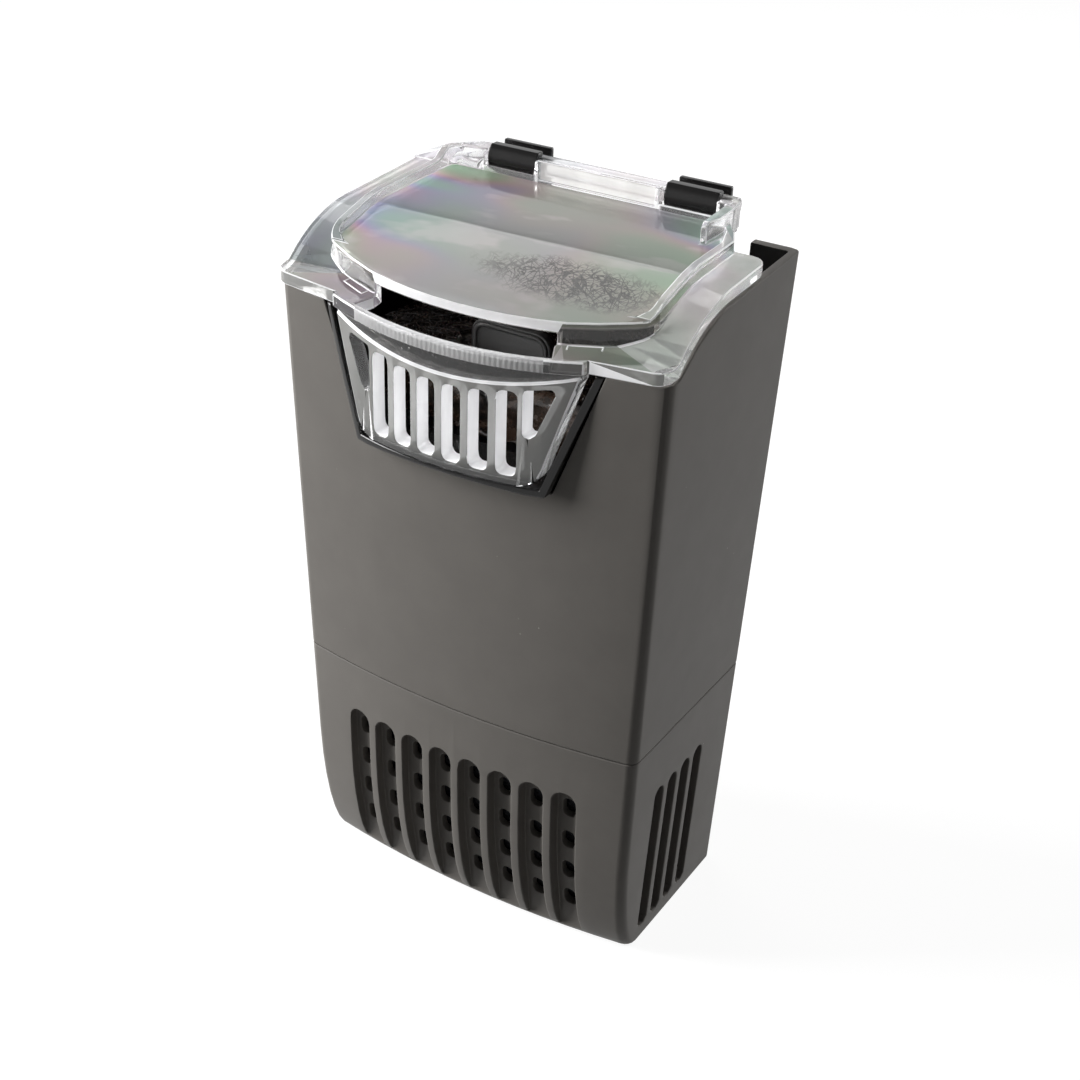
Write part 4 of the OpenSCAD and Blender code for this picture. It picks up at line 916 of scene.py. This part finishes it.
def coverPart(centre, normal, rounded):
    # the number of the cover's material on a face
    plan = coverPlan
    zone = clearZones.index
    x, y, z = centre
    depth = y - plan["bowRadius"] + math.sqrt(plan["bowRadius"] ** 2 - x * x)
    faceTop = plan["faceTop"] + plan["faceRise"] * x * x
    low, high, z0, z1 = plan["outline"]
    edgeX = low + (high - low) * (z - z0) / (z1 - z0)
    onGrille = depth < plan["grilleBack"] + plan["slack"]
    if z < faceTop + plan["faceSlack"] and onGrille:
        return zone(grillePart(x, z, depth, normal, rounded, edgeX, faceTop))
    if z < plan["fasciaTop"] and abs(x) < edgeX + plan["margin"] and onGrille:
        ahead = abs(depth - plan["fasciaFront"]) < plan["fasciaSlack"]
        if ahead and normal.y < -facing["partly"]:
            return zone("fascia")
    inOpening = abs(x) < plan["openingHalf"] + plan["margin"]
    if inOpening and depth < plan["barFront"] and z < plan["barTop"]:
        return zone("bar")
    # outer rounded edges that do not face down take the bead's painted highlight
    if rounded == 1 and normal.z > -facing["barely"]:
        return zone("bead")
    if rounded:
        return zone("band") if rounded == 2 else zone("wall")
    near, far = plan["lipDepth"]
    onLip = abs(x) < plan["lipHalf"] and near < y < far and z > plan["lipFoot"]
    if onLip and normal.y < -facing["fully"]:
        return zone("lip")
    if abs(normal.z) < facing["upright"]:
        return zone(uprightPart(abs(x), y, z, normal))
    inWidth = abs(x) < plan["windowHalf"] - plan["windowWall"]
    inDepth = plan["windowFront"] < y < plan["windowBack"] - plan["windowWall"]
    inWindow = inWidth and inDepth and abs(normal.z) > facing["fully"]
    return zone("panel") if inWindow else zone("band")


def grillePart(x, z, depth, normal, rounded, edgeX, faceTop):
    # which zone a face of the hanging grille belongs to
    plan = coverPlan
    inWidth = abs(x) < edgeX - plan["slotWall"]
    inSlot = inWidth and plan["grilleFoot"] + plan["slotFoot"] < z < faceTop - plan["slack"]
    if normal.y < -facing["squarely"] and not rounded:
        return "face"
    if normal.z > facing["squarely"] and z > faceTop - plan["slack"] and depth > plan["frontEdge"]:
        return "skirt"  # the ledge behind the fascia
    if inSlot and abs(normal.y) < facing["mostly"]:
        return "wall" if x < plan["clearSlots"] else "slot"
    if rounded and normal.y < facing["slightly"] and depth < plan["frontEdge"]:
        return "face" if inSlot or z <= plan["grilleFoot"] + plan["rimFoot"] else "bead"
    return "wall"


def uprightPart(across, y, z, normal):
    # which zone an upright face of the cover belongs to
    plan = coverPlan
    beyond = across - plan["openingHalf"]
    front = y < plan["frontWall"]
    if beyond < 0:
        return "bead" if front and normal.y < -facing["partly"] else "wall"
    foot = plan["footMiddle"] + plan["footSlope"] * beyond
    if beyond < plan["openingWall"] and abs(normal.x) > facing["squarely"] and front:
        return "slot"
    onSkirt = foot - plan["margin"] < y < plan["skirtBack"] and across < plan["skirtHalf"]
    if z > plan["skirtFoot"] and onSkirt and normal.y < -facing["slightly"]:
        return "skirt"
    if normal.y < -facing["partly"] and front and z < plan["edgeTop"]:
        return "fascia" if across < plan["edgeHalf"] else "slot"
    return "wall"


paintFaces(pieces["top_cover"], clearMaterials[1:], coverPart)

# small raised shapes


def baked(name, data, prepare=None):
    # what a curve or a mesh with modifiers makes, as a bmesh
    carrier = newObject(name, data)
    if prepare:
        prepare(carrier)
    shown = carrier.evaluated_get(bpy.context.evaluated_depsgraph_get())
    bm = bmesh.new()
    bm.from_mesh(shown.to_mesh())
    shown.to_mesh_clear()
    bpy.data.objects.remove(carrier)
    return bm


def tubes(paths, radius, resolution=0, capped=False, endShare=1.0):
    # round tubes along open paths, as one mesh
    data = bpy.data.curves.new("tubes", "CURVE")
    data.dimensions = "3D"
    data.bevel_depth = radius
    data.bevel_resolution = resolution
    data.use_fill_caps = capped
    for path in paths:
        spline = data.splines.new("POLY")
        spline.points.add(len(path) - 1)
        for k, point in enumerate(path):
            spline.points[k].co = (*point, 1)
            spline.points[k].radius = 1.0 if 0 < k < len(path) - 1 else endShare
    return baked("tubes", data)


def skinOf(node):
    bm = bmesh.new()
    bm.from_mesh(frame["nodes"][node].data)
    skin = BVHTree.FromBMesh(bm)
    bm.free()
    return skin


def addPiece(name, bm, body, material):
    for face in bm.faces:
        face.smooth = True
    mesh = meshFrom(bm, name)
    mesh.materials.append(material)
    piece = newObject(name, mesh)
    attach(piece, body)
    print("piece", name, len(mesh.polygons), "faces")
    return piece


bandMarks = {
    "thickness": 0.00024,
    "roundness": 2,
    "sink": 0.00006,
    "above": 0.2,  # the rays down to the band start here
    "steps": 8,
    # corners of each moulded bracket on the band, seen from above
    "brackets": [
        [(-0.0374, -0.02885), (-0.0379, -0.0304), (-0.03005, -0.0335), (-0.0294, -0.0318)],
        [(0.03005, -0.0335), (0.0294, -0.0318), (0.0374, -0.02885), (0.0379, -0.0304)],
    ],
}


def settled(corners, skin, setup):
    # a path laid on the surface under it
    steps = setup["steps"]
    flat = [Vector(a).lerp(Vector(b), k / steps)
            for a, b in zip(corners, corners[1:]) for k in range(steps)]
    laid = []
    for spot in flat + [Vector(corners[-1])]:
        hit = skin.ray_cast(Vector((spot.x, spot.y, setup["above"])), Vector((0, 0, -1)))[0]
        laid.append(hit - Vector((0, 0, setup["sink"])))
    return laid


def bracketPiece(setup):
    skin = skinOf("top_cover")
    paths = [settled(corners, skin, setup) for corners in setup["brackets"]]
    bm = tubes(paths, setup["thickness"], setup["roundness"], True)
    # the brackets take the bead's painted highlight and glow
    addPiece("bandBrackets", bm, "cover", clearMaterials[clearZones.index("bead")])


gripBorder = {"halfWidth": 0.0108, "low": 0.150, "top": 0.1744, "corner": 0.0034, "cornerSteps": 6,
              "front": -0.0109, "width": 0.0007, "roundness": 2}


def borderPiece(setup):
    w, r, steps = setup["halfWidth"], setup["corner"], setup["cornerSteps"]
    path = [(-w, setup["front"], setup["low"])]
    for centreX, turn in ((-w + r, 180), (w - r, 90)):
        for k in range(steps + 1):
            angle = math.radians(turn - 90 / steps * k)
            height = setup["top"] - r + r * math.sin(angle)
            path.append((centreX + r * math.cos(angle), setup["front"], height))
    path.append((w, setup["front"], setup["low"]))
    bm = tubes([path], setup["width"], setup["roundness"], True)
    addPiece("gripBorder", bm, "housing", materials["basket"])


bracketPiece(bandMarks)
borderPiece(gripBorder)

# soft media


def meshPiece(name, bm, node, material):
    # one new piece in the place of a node
    piece = addPiece(name, bm, bodyOf(node), material)
    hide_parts(node)
    pieces[node] = piece
    return piece


def remeshed(node, voxel):
    # the node's form as an even grid of small faces
    def addGrid(carrier):
        grid = carrier.modifiers.new("grid", "REMESH")
        grid.mode = "VOXEL"
        grid.voxel_size = voxel
        grid.adaptivity = 0

    bm = bmesh.new()
    bm.from_mesh(frame["nodes"][node].data)
    bmesh.ops.remove_doubles(bm, verts=bm.verts, dist=edgeRules["merge"])
    bm = baked("carrier", meshFrom(bm, "carrier"), addGrid)
    bm.normal_update()
    return bm


softBlocks = {
    "foam_block": {"name": "foamBlock", "voxel": 0.0013, "sink": 0.0004, "rough": 0.0007,
                   "grain": 420.0, "field": noise.noise},
    "intake_foam": {"name": "intakeFoam", "voxel": 0.0013, "sink": 0.0004, "rough": 0.0007,
                    "grain": 420.0, "field": noise.noise},
    "carbon_cartridge": {"name": "carbonSleeve", "voxel": 0.0012, "sink": 0.0006, "rough": 0.0011,
                         "grain": 300.0, "field": noise.cell},
}
# sizes of the lumps against the grain, and the shares of both in the depth
softRelief = {"lumpScale": 0.6, "lumpShift": (3.1, 0.7, 5.3), "depth": 0.5, "middle": 0.5,
              "lump": 0.5, "grain": 0.3}


def softBlock(node, setup, relief):
    bm = remeshed(node, setup["voxel"])
    shift = Vector(relief["lumpShift"])
    for vert in bm.verts:
        fine = setup["field"](vert.co * setup["grain"])
        lump = noise.noise(vert.co * setup["grain"] * relief["lumpScale"] + shift)
        share = relief["middle"] + relief["lump"] * lump + relief["grain"] * fine
        vert.co -= vert.normal * (setup["sink"] + setup["rough"] * relief["depth"] * share)
    return meshPiece(setup["name"], bm, node, materials[slotOf(node)])


for node, setup in softBlocks.items():
    block = softBlock(node, setup, softRelief)

fibre = {
    "strands": 1300,
    "points": 14,
    "step": 0.0024,
    "stride": (0.6, 1.1),
    "thickness": 0.00021,
    "endShare": 0.25,  # of the thickness
    "crowding": 2.2,  # more strands near the top
    "level": 0.35,  # how steeply a strand sets out
    "turns": (0.25, 0.9),
    "wander": 0.3,
    "bounce": 0.6,
    "inset": (0.0065, 0.0075, 0.0012),
    "gripHalf": 0.0128,
    "gripFront": -0.0116,
    "gripBack": -0.0076,
    # a tuft that rises from the pad to just under the window
    "tuft": {"strands": 260, "rise": 8, "curl": 9, "step": 0.0016, "foot": 0.166, "top": 0.19,
             "above": 0.18, "gap": 0.0004, "footY": (-0.0060, 0.008), "middle": (0.021, -0.0165),
             "spread": (0.0105, 0.004), "least": (-0.012, -0.026), "most": (0.042, -0.003),
             "sway": 0.004, "climb": 2.2, "jitter": (0.0007, 0.0005), "dip": 0.0006,
             "turn": 0.45, "wander": 0.25},
    # the dense middle of the pad
    "core": {"voxel": 0.0022, "scale": 160.0, "smoothness": 0.8, "finer": 2.0, "layers": 3,
             "sink": 0.0035, "depth": 0.0016},
}


def scatter(x, y, z):
    return Vector((random.gauss(0, x), random.gauss(0, y), random.gauss(0, z)))


def strandPath(setup, low, high):
    # a curly walk that stays in the pad's box and out of the grip plate
    place = Vector((random.uniform(low.x, high.x), random.uniform(low.y, high.y),
                    high.z - (high.z - low.z) * random.random() ** setup["crowding"]))
    heading = scatter(1, 1, setup["level"]).normalized()
    swirl = scatter(1, 1, 1).normalized()
    turn = random.uniform(*setup["turns"])
    front, back, wander = setup["gripFront"], setup["gripBack"], setup["wander"]
    path = []
    for i in range(setup["points"]):
        path.append(place.copy())
        heading = (Matrix.Rotation(turn, 3, swirl) @ heading).normalized()
        swirl = (swirl + scatter(wander, wander, wander)).normalized()
        place += heading * setup["step"] * random.uniform(*setup["stride"])
        for k in range(3):
            if place[k] < low[k] or place[k] > high[k]:
                place[k] = min(max(place[k], low[k]), high[k])
                heading[k] = -heading[k] * setup["bounce"]
        if abs(place.x) < setup["gripHalf"] and front < place.y < back:
            place.y = front if place.y < (front + back) / 2 else back
    return path


def underRoof(place, roof, tuft):
    # the point just under the window, over the given place
    hit = roof.ray_cast(Vector((place.x, place.y, tuft["above"])), Vector((0, 0, 1)))[0]
    return Vector((place.x, place.y, hit.z - tuft["gap"])) if hit else place.copy()


def tuftPath(tuft, roof):
    # one strand that climbs behind the grip plate and curls under the window
    least, most = tuft["least"], tuft["most"]
    spot = [random.gauss(m, w) for m, w in zip(tuft["middle"], tuft["spread"])]
    spot = [min(max(v, a), b) for v, a, b in zip(spot, least, most)]
    end = underRoof(Vector(spot + [tuft["top"]]), roof, tuft)
    start = Vector((end.x + random.gauss(0, tuft["sway"]), random.uniform(*tuft["footY"]),
                    tuft["foot"]))
    jitterX, jitterY = tuft["jitter"]
    path = []
    for i in range(tuft["rise"]):
        share = i / tuft["rise"]
        point = start.lerp(end, share)
        point.y = start.y + (end.y - start.y) * share ** tuft["climb"]
        path.append(point + Vector((random.gauss(0, jitterX), random.gauss(0, jitterY), 0)))
    heading = random.uniform(0, 2 * math.pi)
    turn = random.gauss(0, tuft["turn"])
    place = end.copy()
    for i in range(tuft["curl"]):
        path.append(underRoof(place, roof, tuft) - Vector((0, 0, random.uniform(0, tuft["dip"]))))
        heading += turn + random.gauss(0, tuft["wander"])
        place = place + Vector((math.cos(heading), math.sin(heading), 0)) * tuft["step"]
        for k in range(2):
            place[k] = min(max(place[k], least[k]), most[k])
    return path


def padCore(setup):
    bm = remeshed("fibre_pad", setup["voxel"])
    for vert in bm.verts:
        lump = noise.fractal(vert.co * setup["scale"], setup["smoothness"], setup["finer"],
                             setup["layers"])
        vert.co -= vert.normal * (setup["sink"] + setup["depth"] * lump)
    return meshFrom(bm, "core")


def fibreMesh(setup):
    low, high = (Vector(corner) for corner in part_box("fibre_pad"))
    inset = Vector(setup["inset"])
    paths = [strandPath(setup, low + inset, high - inset) for i in range(setup["strands"])]
    tuft = setup["tuft"]
    roof = skinOf("top_cover")
    paths += [tuftPath(tuft, roof) for i in range(tuft["strands"])]
    bm = tubes(paths, setup["thickness"], endShare=setup["endShare"])
    core = padCore(setup["core"])
    bm.from_mesh(core)
    bpy.data.meshes.remove(core)
    return bm


pad = meshPiece("looseFibre", fibreMesh(fibre), "fibre_pad", materials["fibre"])

for node, thing in frame["nodes"].items():
    if node not in pieces:
        for slot in thing.material_slots:
            slot.material = materials[slotOf(node)]
